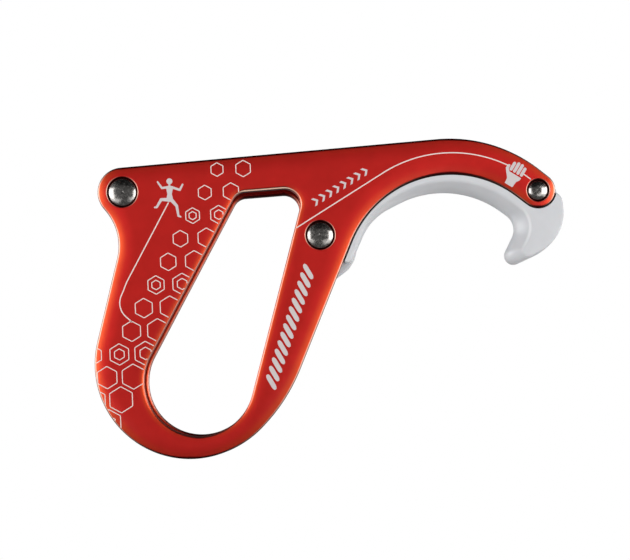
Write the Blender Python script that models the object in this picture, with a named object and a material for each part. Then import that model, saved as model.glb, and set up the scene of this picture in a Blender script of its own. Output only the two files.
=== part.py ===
"""Assisted braking belay device: two alloy side plates, three riveted pins and a moulded saddle.

Metres, +Z up. The device stands as it hangs from its carabiner, with the hooked arm along +X.
The plates lie in X and Z, the front one at -Y. The origin is the centre of the round end of the
carabiner slot, halfway through the thickness.

Every outline is a belt of arcs (x, z, radius), listed anticlockwise as seen from the front.
A positive radius is a corner or lobe, a negative one is a hollow, and straight runs that touch
both arcs join each arc to the next.
"""

import math

import bmesh
import bpy

# Stack of plates across the rope channel
PLATE_THICKNESS = 0.0040
CHANNEL_WIDTH = 0.0120
PLATE_INNER = CHANNEL_WIDTH / 2
PLATE_OUTER = PLATE_INNER + PLATE_THICKNESS
FIT = 0.0003
PLATE_EDGE_RADIUS = 0.0005
ARC_SAGITTA = 0.00005
TURN_SEGMENTS = 32
CUTTER_REACH = 0.0010

# Pin centres (x, z)
GUIDE_PIN = (-0.0219, 0.0539)
BRAKE_PIN = (0.0345, 0.0417)
HOOK_PIN = (0.0967, 0.0546)

# Side plate: guide lobe, waist, round bottom, right flank, hollow and back of the arm, hook lobe
ARM_CENTRE = (0.0720, 0.0284)
ARM_HOLLOW = 0.0308
GUIDE_LOBE = 0.0071
HOOK_LOBE = 0.0050
PLATE_OUTLINE = [
    (*GUIDE_PIN, GUIDE_LOBE),
    (-0.0385, 0.0385, -0.0155),
    (-0.0026, 0.0050, 0.0271),
    (-0.0026, 0.0065, 0.0285),
    (-0.0188, 0.0227, 0.0514),
    (*ARM_CENTRE, -ARM_HOLLOW),
    (*HOOK_PIN, HOOK_LOBE),
    (0.0716, 0.0279, 0.0415),
]
CARABINER_SLOT = [
    (0.0, 0.0, 0.0156),
    (0.0242, 0.0504, 0.0046),
    (0.0132, 0.0501, 0.0040),
]

# Rivets: shank, domed head with a centre dimple, and the counterbore that takes the head
PIN_SHANK = 0.0030
HOOK_SHANK = 0.0020
GUIDE_HEAD = 0.0040
BRAKE_HEAD = 0.0038
HOOK_HEAD = 0.00285
PIN_DOME_RISE = 0.0012
HOOK_DOME_RISE = 0.0008
DOME_STEPS = 4
HEAD_BELOW_PLATE = 0.0001
SEAT_DEPTH = 0.0020
HOOK_SEAT_DEPTH = 0.0016
SEAT_CHAMFER = 0.0004
DIMPLE_RADIUS = 0.0006
DIMPLE_DEPTH = 0.0001

# Spacer sleeves that the rope runs on, and the small one inside the saddle
SLEEVE_RADIUS = 0.0050
HOOK_SLEEVE_RADIUS = 0.0030
SLEEVE_CHAMFER = 0.0004

# Moulded saddle: full-width belly under the plates, its grip side crowned across the thickness
BELLY_HALF_WIDTH = PLATE_OUTER - FIT
BELLY_EDGE_RADIUS = 0.0005
BELLY_TOP = 0.0316
BELLY_CROWN = [
    (0.0426, 0.0354, 0.0016),
    (0.0627, 0.0352, -0.0170),
    (0.0709, 0.0266, -0.0284),
    (0.0860, 0.0443, -0.0052),
    (0.0910, 0.0370, 0.0027),
    (0.0905, 0.0485, 0.0134),
    (0.1022, 0.0527, 0.0010),
    (*ARM_CENTRE, BELLY_TOP),
]
BELLY_SIDE = [
    (0.0424, 0.0352, 0.0013),
    (0.0626, 0.0362, -0.0175),
    (0.0713, 0.0283, -0.0290),
    (0.0875, 0.0440, -0.0069),
    (0.0940, 0.0380, 0.0019),
    (0.0905, 0.0485, 0.0129),
    (0.1021, 0.0525, 0.0010),
    (*ARM_CENTRE, BELLY_TOP),
]
CROWN_POWER = 2.2
CROWN_STEPS = 5

# Saddle core between the plates: heel, brake seat, rope floor and the rise over the hook pin
CORE_HALF_WIDTH = PLATE_INNER - FIT
CORE_EDGE_RADIUS = 0.0004
ROPE_FLOOR = 0.0332
GROOVE_DEPTH = 0.0012
SEAT_LIP = 0.0010
CORE_STEPS = 4


def tangent_headings(arcs):
    """Heading of the straight run that leaves each arc for the next one."""
    headings = []
    for (x, z, radius), (next_x, next_z, next_radius) in zip(arcs, arcs[1:] + arcs[:1]):
        distance = math.hypot(next_x - x, next_z - z)
        lean = (radius - next_radius) / distance
        if abs(lean) > 1.0:
            raise ValueError(f"no straight run joins the arcs at ({x}, {z}) and ({next_x}, {next_z})")
        headings.append(math.atan2(next_z - z, next_x - x) + math.asin(lean))
    return headings


def arc_sweeps(arcs):
    """Start heading and signed turn of every arc."""
    leaving = tangent_headings(arcs)
    sweeps = []
    for number, (_, _, radius) in enumerate(arcs):
        arriving = leaving[number - 1]
        turn = (leaving[number] - arriving) % math.tau
        if radius < 0:
            turn -= math.tau
        sweeps.append((arriving, turn))
    return sweeps


def arc_steps(arcs):
    """Facets that keep every arc within the sagitta; lofted outlines share one such list."""
    steps = []
    for (_, _, radius), (_, turn) in zip(arcs, arc_sweeps(arcs)):
        facet_turn = 2 * math.acos(1 - min(0.5, ARC_SAGITTA / abs(radius)))
        steps.append(max(1, math.ceil(abs(turn) / facet_turn)))
    return steps


def belt(arcs, steps, grow=0.0):
    """Points of the outline, moved outward everywhere by grow."""
    grown = [(x, z, radius + grow) for x, z, radius in arcs]
    points = []
    for (x, z, radius), (heading, turn), count in zip(grown, arc_sweeps(grown), steps):
        for step in range(count + 1):
            angle = heading + turn * step / count
            points.append((x + radius * math.sin(angle), z - radius * math.cos(angle)))
    return points


def new_object(name, mesh):
    """Link a mesh to the scene as a named object."""
    piece = bpy.data.objects.new(name, mesh)
    bpy.context.scene.collection.objects.link(piece)
    return piece


def mesh_from(bm, name):
    """Close a bmesh into a mesh with its faces pointing out and its round sides smooth."""
    bmesh.ops.remove_doubles(bm, verts=bm.verts[:], dist=0.000001)
    bmesh.ops.recalc_face_normals(bm, faces=bm.faces[:])
    mesh = bpy.data.meshes.new(name)
    bm.to_mesh(mesh)
    bm.free()
    mesh.shade_smooth()
    mesh.set_sharp_from_angle(angle=math.radians(35))
    return mesh


def lofted(name, stations):
    """Solid through outlines of equal count, each given as (y, points)."""
    bm = bmesh.new()
    rings = [[bm.verts.new((x, y, z)) for x, z in points] for y, points in stations]
    for ring, following in zip(rings, rings[1:]):
        for number, corner in enumerate(ring):
            before = number - 1
            bm.faces.new((ring[before], corner, following[number], following[before]))
    bm.faces.new(rings[0])
    bm.faces.new(rings[-1])
    return new_object(name, mesh_from(bm, name))


def turned(name, centre, profile):
    """Solid of revolution about the Y line through centre; profile holds (radius, y) pairs."""
    bm = bmesh.new()
    corners = [bm.verts.new((radius, y, 0.0)) for radius, y in profile]
    edges = [bm.edges.new(pair) for pair in zip(corners, corners[1:])]
    bmesh.ops.spin(bm, geom=corners + edges, cent=(0, 0, 0), axis=(0, 1, 0),
                   angle=math.tau, steps=TURN_SEGMENTS, use_duplicate=False)
    piece = new_object(name, mesh_from(bm, name))
    piece.location = (centre[0], 0.0, centre[1])
    return piece


def combine(piece, tool, operation):
    """Boolean of a piece with a hidden wire tool."""
    tool.hide_render = True
    tool.display_type = "WIRE"
    modifier = piece.modifiers.new(f"{operation.lower()} {tool.name}", "BOOLEAN")
    modifier.operation = operation
    modifier.solver = "EXACT"
    modifier.object = tool


def edge_rounding(radius, steps=2):
    """Pairs (distance in from the face, inset of the outline) round a quarter circle."""
    angles = [math.pi / 2 * step / steps for step in range(steps + 1)]
    return [(radius * (1 - math.sin(angle)), radius * (1 - math.cos(angle))) for angle in reversed(angles)]


def rounded_stations(arcs, low, high, drift):
    """Outlines from one Y level to another that move by drift, along a quarter circle, at both faces."""
    steps = arc_steps(arcs)
    rounding = edge_rounding(abs(drift))
    sense = math.copysign(1.0, drift)
    stations = [(low + depth, belt(arcs, steps, sense * inset)) for depth, inset in rounding]
    stations += [(high - depth, belt(arcs, steps, sense * inset)) for depth, inset in reversed(rounding)]
    return stations


def material(name, colour, metallic, roughness):
    """Plain Principled material."""
    surface = bpy.data.materials.new(name)
    surface.use_nodes = True
    shader = surface.node_tree.nodes["Principled BSDF"]
    shader.inputs["Base Color"].default_value = (*colour, 1.0)
    shader.inputs["Metallic"].default_value = metallic
    shader.inputs["Roughness"].default_value = roughness
    surface.diffuse_color = (*colour, 1.0)
    return surface


def rivet_seat(name, centre, side, head, shank, depth):
    """Cutter for a shank hole with a chamfered counterbore in the outer face of one plate."""
    hole = shank + FIT
    bore = head + FIT
    through = PLATE_INNER - CUTTER_REACH
    mouth = PLATE_OUTER + CUTTER_REACH
    profile = [
        (0.0, through),
        (hole, through),
        (hole, PLATE_OUTER - depth),
        (bore, PLATE_OUTER - depth),
        (bore, PLATE_OUTER - SEAT_CHAMFER),
        (bore + SEAT_CHAMFER + CUTTER_REACH, mouth),
        (0.0, mouth),
    ]
    return turned(name, centre, [(radius, side * y) for radius, y in profile])


def slot_cutter(name, low, high):
    """Carabiner slot that widens at both faces, so that its edges are as round as the outline."""
    stations = rounded_stations(CARABINER_SLOT, low, high, PLATE_EDGE_RADIUS)
    mouth = stations[0][1]
    return lofted(name, [(low - CUTTER_REACH, mouth), *stations, (high + CUTTER_REACH, mouth)])


def side_plate(name, side, surface):
    """One alloy plate: rounded edges all round, flared carabiner slot and three rivet seats."""
    low, high = sorted((side * PLATE_INNER, side * PLATE_OUTER))
    plate = lofted(name, rounded_stations(PLATE_OUTLINE, low, high, -PLATE_EDGE_RADIUS))
    combine(plate, slot_cutter(f"{name}_slot_cutter", low, high), "DIFFERENCE")
    seats = (
        ("guide", GUIDE_PIN, GUIDE_HEAD, PIN_SHANK, SEAT_DEPTH),
        ("brake", BRAKE_PIN, BRAKE_HEAD, PIN_SHANK, SEAT_DEPTH),
        ("hook", HOOK_PIN, HOOK_HEAD, HOOK_SHANK, HOOK_SEAT_DEPTH),
    )
    for pin, centre, head, shank, depth in seats:
        seat = rivet_seat(f"{name}_{pin}_seat_cutter", centre, side, head, shank, depth)
        combine(plate, seat, "DIFFERENCE")
    plate.data.materials.append(surface)
    return plate


def rivet(name, centre, head, shank, seat_depth, dome_rise, surface):
    """Rivet with two domed heads, each resting in its counterbore with a small centre dimple."""
    top = PLATE_OUTER - HEAD_BELOW_PLATE
    rim = top - dome_rise
    under = PLATE_OUTER - seat_depth + FIT
    sphere = (head ** 2 + dome_rise ** 2) / (2 * dome_rise)
    half = [(shank, under), (head, under), (head, rim)]
    for step in range(1, DOME_STEPS + 1):
        radius = head + (DIMPLE_RADIUS - head) * step / DOME_STEPS
        half.append((radius, top - sphere + math.sqrt(sphere ** 2 - radius ** 2)))
    half.append((0.0, top - DIMPLE_DEPTH))
    profile = [(radius, -y) for radius, y in reversed(half)] + half
    piece = turned(name, centre, profile)
    piece.data.materials.append(surface)
    return piece


def sleeve(name, centre, radius, shank, surface):
    """Spacer tube between the plates with broken edges at both ends."""
    bore = shank + FIT
    end = PLATE_INNER - FIT
    profile = [
        (bore, -end),
        (radius - SLEEVE_CHAMFER, -end),
        (radius, SLEEVE_CHAMFER - end),
        (radius, end - SLEEVE_CHAMFER),
        (radius - SLEEVE_CHAMFER, end),
        (bore, end),
        (bore, -end),
    ]
    piece = turned(name, centre, profile)
    piece.data.materials.append(surface)
    return piece


def blend_arcs(first, second, share):
    """Arcs that lie between two like lists, share 0 giving the first and 1 the second."""
    return [tuple(a + (b - a) * share for a, b in zip(one, other)) for one, other in zip(first, second)]


def belly_loft(name):
    """Full-width body of the saddle: crowned grip side, hooked nose and rounded face edges."""
    steps = arc_steps(BELLY_CROWN)
    rounding = edge_rounding(BELLY_EDGE_RADIUS)
    flat = BELLY_HALF_WIDTH - BELLY_EDGE_RADIUS
    levels = [(flat * step / CROWN_STEPS, 0.0) for step in range(CROWN_STEPS)]
    levels += [(BELLY_HALF_WIDTH - depth, inset) for depth, inset in reversed(rounding)]
    half = []
    for y, inset in levels:
        share = (y / BELLY_HALF_WIDTH) ** CROWN_POWER
        half.append((y, belt(blend_arcs(BELLY_CROWN, BELLY_SIDE, share), steps, -inset)))
    stations = [(-y, points) for y, points in reversed(half[1:])] + half
    return lofted(name, stations)


def core_arcs(y):
    """Outline of the core at one level: the rope floor dips to a groove in the middle."""
    dip = GROOVE_DEPTH * (1 - (y / CORE_HALF_WIDTH) ** 2)
    return [
        (0.0356, 0.0296, 0.0020),
        (0.0382, 0.0376, 0.0068),
        (0.0627, 0.0352, -0.0177),
        (0.0709, 0.0266, -0.0294),
        (0.0860, 0.0443, -0.0075),
        (0.0983, 0.0460, 0.0036),
        (0.0974, 0.0536, 0.0053),
        (*ARM_CENTRE, ROPE_FLOOR - dip),
        (0.0406, 0.0442, SEAT_LIP - dip / 3),
        (*BRAKE_PIN, -(SLEEVE_RADIUS + FIT)),
        (0.0316, 0.0359, 0.0008),
    ]


def core_loft(name):
    """Core of the saddle, as wide as the rope channel less its clearance."""
    steps = arc_steps(core_arcs(0.0))
    rounding = edge_rounding(CORE_EDGE_RADIUS)
    flat = CORE_HALF_WIDTH - CORE_EDGE_RADIUS
    levels = [(flat * step / CORE_STEPS, 0.0) for step in range(CORE_STEPS)]
    levels += [(CORE_HALF_WIDTH - depth, inset) for depth, inset in reversed(rounding)]
    half = [(y, belt(core_arcs(y), steps, -inset)) for y, inset in levels]
    stations = [(-y, points) for y, points in reversed(half[1:])] + half
    return lofted(name, stations)


def plate_space(name, side):
    """Room that one side plate takes up with its clearance, cut out of the saddle's belly."""
    steps = arc_steps(PLATE_OUTLINE)
    points = belt(PLATE_OUTLINE, steps, FIT)
    inner, outer = side * CORE_HALF_WIDTH, side * (PLATE_OUTER + FIT)
    return lofted(name, [(inner, points), (outer, points)])


def hook_saddle(name, surface):
    """Moulded saddle: belly cut to nest both plates, joined to the core that carries the rope."""
    saddle = belly_loft(name)
    for side, place in ((-1, "front"), (1, "rear")):
        combine(saddle, plate_space(f"{name}_{place}_plate_space", side), "DIFFERENCE")
    combine(saddle, core_loft(f"{name}_core"), "UNION")
    hole = HOOK_SLEEVE_RADIUS + FIT
    profile = [(0.0, -PLATE_INNER), (hole, -PLATE_INNER), (hole, PLATE_INNER), (0.0, PLATE_INNER)]
    combine(saddle, turned(f"{name}_bore_cutter", HOOK_PIN, profile), "DIFFERENCE")
    saddle.data.materials.append(surface)
    return saddle


def main():
    """Build the device from an empty scene."""
    for leftover in list(bpy.data.objects):
        bpy.data.objects.remove(leftover)
    anodised = material("anodised_alloy", (0.60, 0.022, 0.016), 1.0, 0.35)
    steel = material("stainless_steel", (0.55, 0.54, 0.52), 1.0, 0.25)
    polyamide = material("moulded_polyamide", (0.66, 0.67, 0.69), 0.0, 0.45)
    side_plate("front_side_plate", -1, anodised)
    side_plate("rear_side_plate", 1, anodised)
    rivet("guide_rivet", GUIDE_PIN, GUIDE_HEAD, PIN_SHANK, SEAT_DEPTH, PIN_DOME_RISE, steel)
    rivet("brake_rivet", BRAKE_PIN, BRAKE_HEAD, PIN_SHANK, SEAT_DEPTH, PIN_DOME_RISE, steel)
    rivet("hook_rivet", HOOK_PIN, HOOK_HEAD, HOOK_SHANK, HOOK_SEAT_DEPTH, HOOK_DOME_RISE, steel)
    sleeve("guide_sleeve", GUIDE_PIN, SLEEVE_RADIUS, PIN_SHANK, steel)
    sleeve("brake_sleeve", BRAKE_PIN, SLEEVE_RADIUS, PIN_SHANK, steel)
    sleeve("hook_sleeve", HOOK_PIN, HOOK_SLEEVE_RADIUS, HOOK_SHANK, steel)
    hook_saddle("hook_saddle", polyamide)


main()
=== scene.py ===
"""Finish and studio of an assisted braking belay device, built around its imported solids.

Metres, +Z up. The plates lie in X and Z and the engraved front plate faces -Y. Every outline is a
belt of arcs (x, z, radius), listed anticlockwise as seen from the front: a positive radius is a
corner or lobe, a negative one is a hollow, and straight runs join each arc to the next.
"""

import math

import bmesh
import bpy
import numpy as np
from bpy.props import FloatProperty, FloatVectorProperty, IntProperty, PointerProperty
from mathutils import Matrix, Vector
from mathutils.geometry import delaunay_2d_cdt


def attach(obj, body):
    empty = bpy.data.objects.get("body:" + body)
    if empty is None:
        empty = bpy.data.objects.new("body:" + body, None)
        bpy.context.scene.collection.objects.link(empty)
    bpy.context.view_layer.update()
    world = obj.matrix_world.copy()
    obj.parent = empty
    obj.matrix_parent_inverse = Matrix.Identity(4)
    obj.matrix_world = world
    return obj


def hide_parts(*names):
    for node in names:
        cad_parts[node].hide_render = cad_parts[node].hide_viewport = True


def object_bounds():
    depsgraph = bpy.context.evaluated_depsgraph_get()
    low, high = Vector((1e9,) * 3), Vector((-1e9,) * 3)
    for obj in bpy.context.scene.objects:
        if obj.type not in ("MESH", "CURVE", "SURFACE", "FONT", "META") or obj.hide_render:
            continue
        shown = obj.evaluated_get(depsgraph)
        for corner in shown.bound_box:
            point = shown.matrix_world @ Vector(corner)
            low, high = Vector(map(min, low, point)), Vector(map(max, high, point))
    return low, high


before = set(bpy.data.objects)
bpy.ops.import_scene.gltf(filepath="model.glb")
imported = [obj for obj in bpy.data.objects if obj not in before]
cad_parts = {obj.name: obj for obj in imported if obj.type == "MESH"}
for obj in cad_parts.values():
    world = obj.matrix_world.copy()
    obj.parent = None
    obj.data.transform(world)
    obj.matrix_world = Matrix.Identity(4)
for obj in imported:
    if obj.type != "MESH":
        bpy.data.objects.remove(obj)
CAD_BOX = [list(corner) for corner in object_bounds()]

bl_info = {
    "name": "Belay device finish",
    "version": (1, 0, 0),
    "blender": (4, 5, 0),
    "location": "3D View > Sidebar > Belay device",
    "description": "Fine plates, rivets, moulded saddle, engraving and studio of a belay device",
    "category": "Object",
}

MM = 0.001

# Stack of plates across the rope channel, and the play where pieces meet
PLATE_INNER = 0.0060
PLATE_OUTER = 0.0100
PLATE_THICKNESS = PLATE_OUTER - PLATE_INNER
FIT = 0.0003

# Tumbled faces: the least that tumbling takes off, and how sharply the pillow falls at an edge
FACE_SINK = 0.00002
PILLOW_POWER = 2.2

# Pin centres (x, z)
GUIDE_PIN = (-0.0219, 0.0539)
BRAKE_PIN = (0.0345, 0.0417)
HOOK_PIN = (0.0967, 0.0546)

# Side plate: guide lobe, waist, round bottom, right flank, hollow and back of the arm, hook lobe
ARM_CENTRE = (0.0720, 0.0284)
PLATE_OUTLINE = [
    (*GUIDE_PIN, 0.0071),
    (-0.0385, 0.0385, -0.0155),
    (-0.0026, 0.0050, 0.0271),
    (-0.0026, 0.0065, 0.0285),
    (-0.0188, 0.0227, 0.0514),
    (*ARM_CENTRE, -0.0308),
    (*HOOK_PIN, 0.0050),
    (0.0716, 0.0279, 0.0415),
]
CARABINER_SLOT = [
    (0.0, 0.0, 0.0156),
    (0.0242, 0.0504, 0.0046),
    (0.0132, 0.0501, 0.0040),
]

# Middle line of the slot: x for each metre of z
SLOT_LEAN = 0.37
# Heading of the slot's straight left wall in degrees
SLOT_WALL_HEADING = 62.3

# Box round the plate's outline: lowest and highest (x, z)
FACE_BOX = ((-0.033, -0.030), (0.103, 0.0715))

# Rivets and the counterbores that take their heads: centre, head radius, shank radius, seat depth
RIVETS = {
    "guide": (GUIDE_PIN, 0.0040, 0.0030, 0.0020),
    "brake": (BRAKE_PIN, 0.0038, 0.0030, 0.0020),
    "hook": (HOOK_PIN, 0.00285, 0.0020, 0.0016),
}
SEAT_CHAMFER = 0.0003
HEAD_BELOW_PLATE = 0.0001
# Cold heading spreads a head almost to the wall of its seat and rolls its rim over
HEAD_SWELL = 0.00012
HEAD_ROLL = 0.00015
SLEEVE_RADIUS = {"guide": 0.0050, "brake": 0.0050, "hook": 0.0030}

# Moulded saddle: full-width belly under the plates, its grip side crowned across the thickness
BELLY_HALF_WIDTH = PLATE_OUTER - FIT
BELLY_EDGE_RADIUS = 0.0006
BELLY_TOP = 0.0316
BELLY_CROWN = [
    (0.0426, 0.0354, 0.0016),
    (0.0627, 0.0352, -0.0170),
    (0.0709, 0.0266, -0.0284),
    (0.0860, 0.0443, -0.0052),
    (0.0911, 0.0367, 0.0027),
    (0.0909, 0.0484, 0.0134),
    (0.1002, 0.0505, 0.0040),
    (*ARM_CENTRE, BELLY_TOP),
]
BELLY_SIDE = [
    (0.0424, 0.0352, 0.0013),
    (0.0626, 0.0362, -0.0175),
    (0.0713, 0.0283, -0.0290),
    (0.0875, 0.0440, -0.0069),
    (0.0942, 0.0376, 0.0019),
    (0.0911, 0.0485, 0.0130),
    (0.0999, 0.0505, 0.0040),
    (*ARM_CENTRE, BELLY_TOP),
]
CROWN_POWER = 2.2

# Saddle core between the plates: heel, brake seat, rope floor and the rise over the hook pin
CORE_HALF_WIDTH = PLATE_INNER - FIT
CORE_EDGE_RADIUS = 0.0004
ROPE_FLOOR = 0.0332
GROOVE_DEPTH = 0.0012
SEAT_LIP = 0.0010

# Painted highlight on the rounded edge of the nose's hollow: reach, and start right of the centre
HIGHLIGHT_REACH = 0.0008
HIGHLIGHT_START = 0.0030

# Laser marks: height over the face and depth in it, distance from edges, and pitch of line points
MARK_PROUD = 0.000012
MARK_SUNK = 0.00003
CELL_MARGIN = 0.00035
LINE_MARGIN = 0.00030
LINE_STEP = 0.0003

# Fineness of the visible meshes
OUTLINE_SAGITTA = 0.000004
RUN_STEP = 0.0010
MOULDING_SAGITTA = 0.00001
MOULDING_RUN_STEP = 0.0020
SEAT_SEGMENTS = 72
EDGE_STEPS = 9
FACE_LATTICE = 0.0011
# Rows of a lattice of equal triangles, for each spacing of its points
LATTICE_ROW = 0.866
# Rings that carry the pillow: shares of its width, and distances from the mouth of a seat
PILLOW_RINGS = (0.03, 0.08, 0.15, 0.24, 0.34, 0.45, 0.57, 0.70, 0.84, 1.0)
SEAT_RINGS = (0.00012, 0.0004, 0.0009)
# Points of a face keep this far from the rings of its edges
POINT_GAP = 0.00012


def colour(code):
    """Linear colour of an sRGB hex value such as #B42624."""
    channels = [int(code[place:place + 2], 16) / 255 for place in (1, 3, 5)]
    return tuple(c / 12.92 if c <= 0.04045 else ((c + 0.055) / 1.055) ** 2.4 for c in channels)


# Settings that a user would change

class PlateSettings(bpy.types.PropertyGroup):
    """Tumbled and anodised side plates."""

    edge_radius: FloatProperty(
        name="Edge radius", description="Rounding where face and wall meet",
        default=0.0007, min=0.0001, max=0.001, unit="LENGTH")
    pillow_width: FloatProperty(
        name="Pillow width", description="Width of the tumbled zone along the outline",
        default=0.0060, min=0.001, max=0.0062, unit="LENGTH")
    pillow_drop: FloatProperty(
        name="Pillow drop", description="How far the face falls towards the outline",
        default=0.0006, min=0.0, max=0.001, unit="LENGTH")
    slot_pillow_width: FloatProperty(
        name="Slot pillow width", description="Width of the tumbled zone round the slot",
        default=0.0042, min=0.001, max=0.0062, unit="LENGTH")
    slot_pillow_drop: FloatProperty(
        name="Slot pillow drop", description="How far the face falls towards the slot",
        default=0.00045, min=0.0, max=0.001, unit="LENGTH")
    face_colour: FloatVectorProperty(
        name="Face colour", description="Dyed oxide on the flat faces",
        default=colour("#E4302B"), min=0, max=1, subtype="COLOR")
    # Painted glow: stands in for the side softboxes lighting the left and right flanks, over a
    # little thinned dye
    edge_glow_colour: FloatVectorProperty(
        name="Edge colour", description="Dye where tumbling has thinned the oxide",
        default=colour("#F0562B"), min=0, max=1, subtype="COLOR")
    # Painted highlight: stands in for the softboxes' reflection along the edges
    edge_highlight_colour: FloatVectorProperty(
        name="Edge break colour", description="Almost bare metal on the sharpest edges",
        default=colour("#FFDAC0"), min=0, max=1, subtype="COLOR")
    # Painted shade: darkens walls that face up or down and the inner faces between the plates
    wall_shade_colour: FloatVectorProperty(
        name="Wall colour", description="Deeper dye on the sheared walls",
        default=colour("#4E0A09"), min=0, max=1, subtype="COLOR")


class PinSettings(bpy.types.PropertyGroup):
    """Rivets and the sleeves between the plates."""

    pin_dome: FloatProperty(
        name="Dome of a pin", description="Rise of the two large rivet heads",
        default=0.00064, min=0.0, max=0.002, unit="LENGTH")
    hook_dome: FloatProperty(
        name="Dome of the hook rivet", description="Rise of the small rivet head",
        default=0.0008, min=0.0, max=0.002, unit="LENGTH")
    dimple_radius: FloatProperty(
        name="Dimple radius", description="Centre mark that the riveting tool leaves",
        default=0.0006, min=0.0001, max=0.001, unit="LENGTH")
    dimple_depth: FloatProperty(
        name="Dimple depth", description="Depth of the centre mark",
        default=0.00008, min=0.0, max=0.0003, unit="LENGTH")
    sleeve_chamfer: FloatProperty(
        name="Sleeve chamfer", description="Broken edge at both ends of a sleeve",
        default=0.0004, min=0.0, max=0.001, unit="LENGTH")
    segments: IntProperty(
        name="Segments", description="Facets round a turned piece",
        default=96, min=24, max=160)
    steel_colour: FloatVectorProperty(
        name="Steel colour", description="Tumbled stainless steel",
        default=colour("#C6C2BE"), min=0, max=1, subtype="COLOR")


class SaddleSettings(bpy.types.PropertyGroup):
    """Moulded saddle with the hooked nose."""

    polyamide_colour: FloatVectorProperty(
        name="Polyamide colour", description="Pale grey moulding compound",
        default=colour("#CBCCCF"), min=0, max=1, subtype="COLOR")
    # Painted highlight on the edge of the nose's hollow, standing in for a softbox's reflection
    crease_highlight_colour: FloatVectorProperty(
        name="Polished colour", description="Edge of the nose's hollow, rubbed by hand and rope",
        default=colour("#DCDDDF"), min=0, max=1, subtype="COLOR")
    crown_steps: IntProperty(
        name="Crown steps", description="Stations across half of the crowned belly",
        default=14, min=4, max=24)


class MarkSettings(bpy.types.PropertyGroup):
    """Laser marks on the front plate."""

    line_width: FloatProperty(
        name="Line width", description="Width of the engraved lines",
        default=0.00032, min=0.0001, max=0.001, unit="LENGTH")
    cell_radius: FloatProperty(
        name="Cell radius", description="Corner radius of the largest hexagon",
        default=0.0040, min=0.001, max=0.006, unit="LENGTH")
    strand_pitch: FloatProperty(
        name="Strand pitch", description="Distance between strands of the rope band",
        default=0.00255, min=0.001, max=0.005, unit="LENGTH")
    line_colour: FloatVectorProperty(
        name="Line colour", description="Single pass of the laser",
        default=colour("#EEDDD7"), min=0, max=1, subtype="COLOR")
    fill_colour: FloatVectorProperty(
        name="Fill colour", description="Hatched area of the laser",
        default=colour("#CFC6C6"), min=0, max=1, subtype="COLOR")


class StudioSettings(bpy.types.PropertyGroup):
    """Pale floor and softboxes."""

    floor_drop: FloatProperty(
        name="Floor drop", description="Height of the device over the floor",
        default=0.09, min=0.03, max=0.5, unit="LENGTH")
    softbox_level: FloatProperty(
        name="Softbox level", description="Power of each side softbox",
        default=5.1, min=0.0, max=100.0, unit="POWER")
    floor_colour: FloatVectorProperty(
        name="Floor colour", description="Seamless paper",
        default=colour("#F7F7F7"), min=0, max=1, subtype="COLOR")


# Outlines

def tangent_headings(arcs):
    """Heading of the straight run that leaves each arc for the next one."""
    headings = []
    for (x, z, radius), (next_x, next_z, next_radius) in zip(arcs, arcs[1:] + arcs[:1]):
        distance = math.hypot(next_x - x, next_z - z)
        lean = (radius - next_radius) / distance
        headings.append(math.atan2(next_z - z, next_x - x) + math.asin(lean))
    return headings


def arc_sweeps(arcs):
    """Start heading and signed turn of every arc."""
    leaving = tangent_headings(arcs)
    sweeps = []
    for number, (_, _, radius) in enumerate(arcs):
        arriving = leaving[number - 1]
        turn = (leaving[number] - arriving) % math.tau
        if radius < 0:
            turn -= math.tau
        sweeps.append((arriving, turn))
    return sweeps


def arc_point(arc, heading):
    """Point of an arc where the outline has this heading."""
    x, z, radius = arc
    return x + radius * math.sin(heading), z - radius * math.cos(heading)


def run_ends(arcs):
    """Start and end of the straight run after each arc."""
    sweeps = arc_sweeps(arcs)
    ends = []
    for number, (start, turn) in enumerate(sweeps):
        following = (number + 1) % len(arcs)
        leaving = start + turn
        ends.append((arc_point(arcs[number], leaving), arc_point(arcs[following], leaving)))
    return ends


def belt_counts(arcs, sagitta=OUTLINE_SAGITTA, run_step=RUN_STEP):
    """Facets of each arc and of the run after it; lofted outlines share one such list."""
    counts = []
    for (_, _, radius), (_, turn), (first, last) in zip(arcs, arc_sweeps(arcs), run_ends(arcs)):
        facet_turn = 2 * math.acos(1 - min(0.5, sagitta / abs(radius)))
        facets = max(1, math.ceil(abs(turn) / facet_turn))
        run = math.hypot(last[0] - first[0], last[1] - first[1])
        counts.append((facets, max(1, math.ceil(run / run_step))))
    return counts


def belt(arcs, counts, grow=0.0):
    """Points of the outline, moved outward everywhere by grow."""
    grown = [(x, z, radius + grow) for x, z, radius in arcs]
    points = []
    pairs = zip(grown, arc_sweeps(grown), run_ends(grown), counts)
    for arc, (heading, turn), (first, last), (arc_count, run_count) in pairs:
        points += [arc_point(arc, heading + turn * step / arc_count)
                   for step in range(arc_count + 1)]
        for step in range(1, run_count):
            share = step / run_count
            points.append(tuple(a + (b - a) * share for a, b in zip(first, last)))
    return points


def distance_to_belt(points, arcs):
    """Distance of every (x, z) point to the outline."""
    nearest = np.full(len(points), np.inf)
    for (x, z, radius), (heading, turn) in zip(arcs, arc_sweeps(arcs)):
        away = points - (x, z)
        length = np.hypot(away[:, 0], away[:, 1])
        sense = math.copysign(1.0, radius)
        angle = np.arctan2(sense * away[:, 0], -sense * away[:, 1])
        swept = (sense * (angle - heading)) % math.tau <= abs(turn)
        nearest = np.where(swept, np.minimum(nearest, abs(length - abs(radius))), nearest)
    for first, last in run_ends(arcs):
        start, run = np.array(first), np.array(last) - np.array(first)
        share = np.clip((points - start) @ run / max(run @ run, 1e-18), 0, 1)
        gap = points - start - share[:, None] * run
        nearest = np.minimum(nearest, np.hypot(gap[:, 0], gap[:, 1]))
    return nearest


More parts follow.
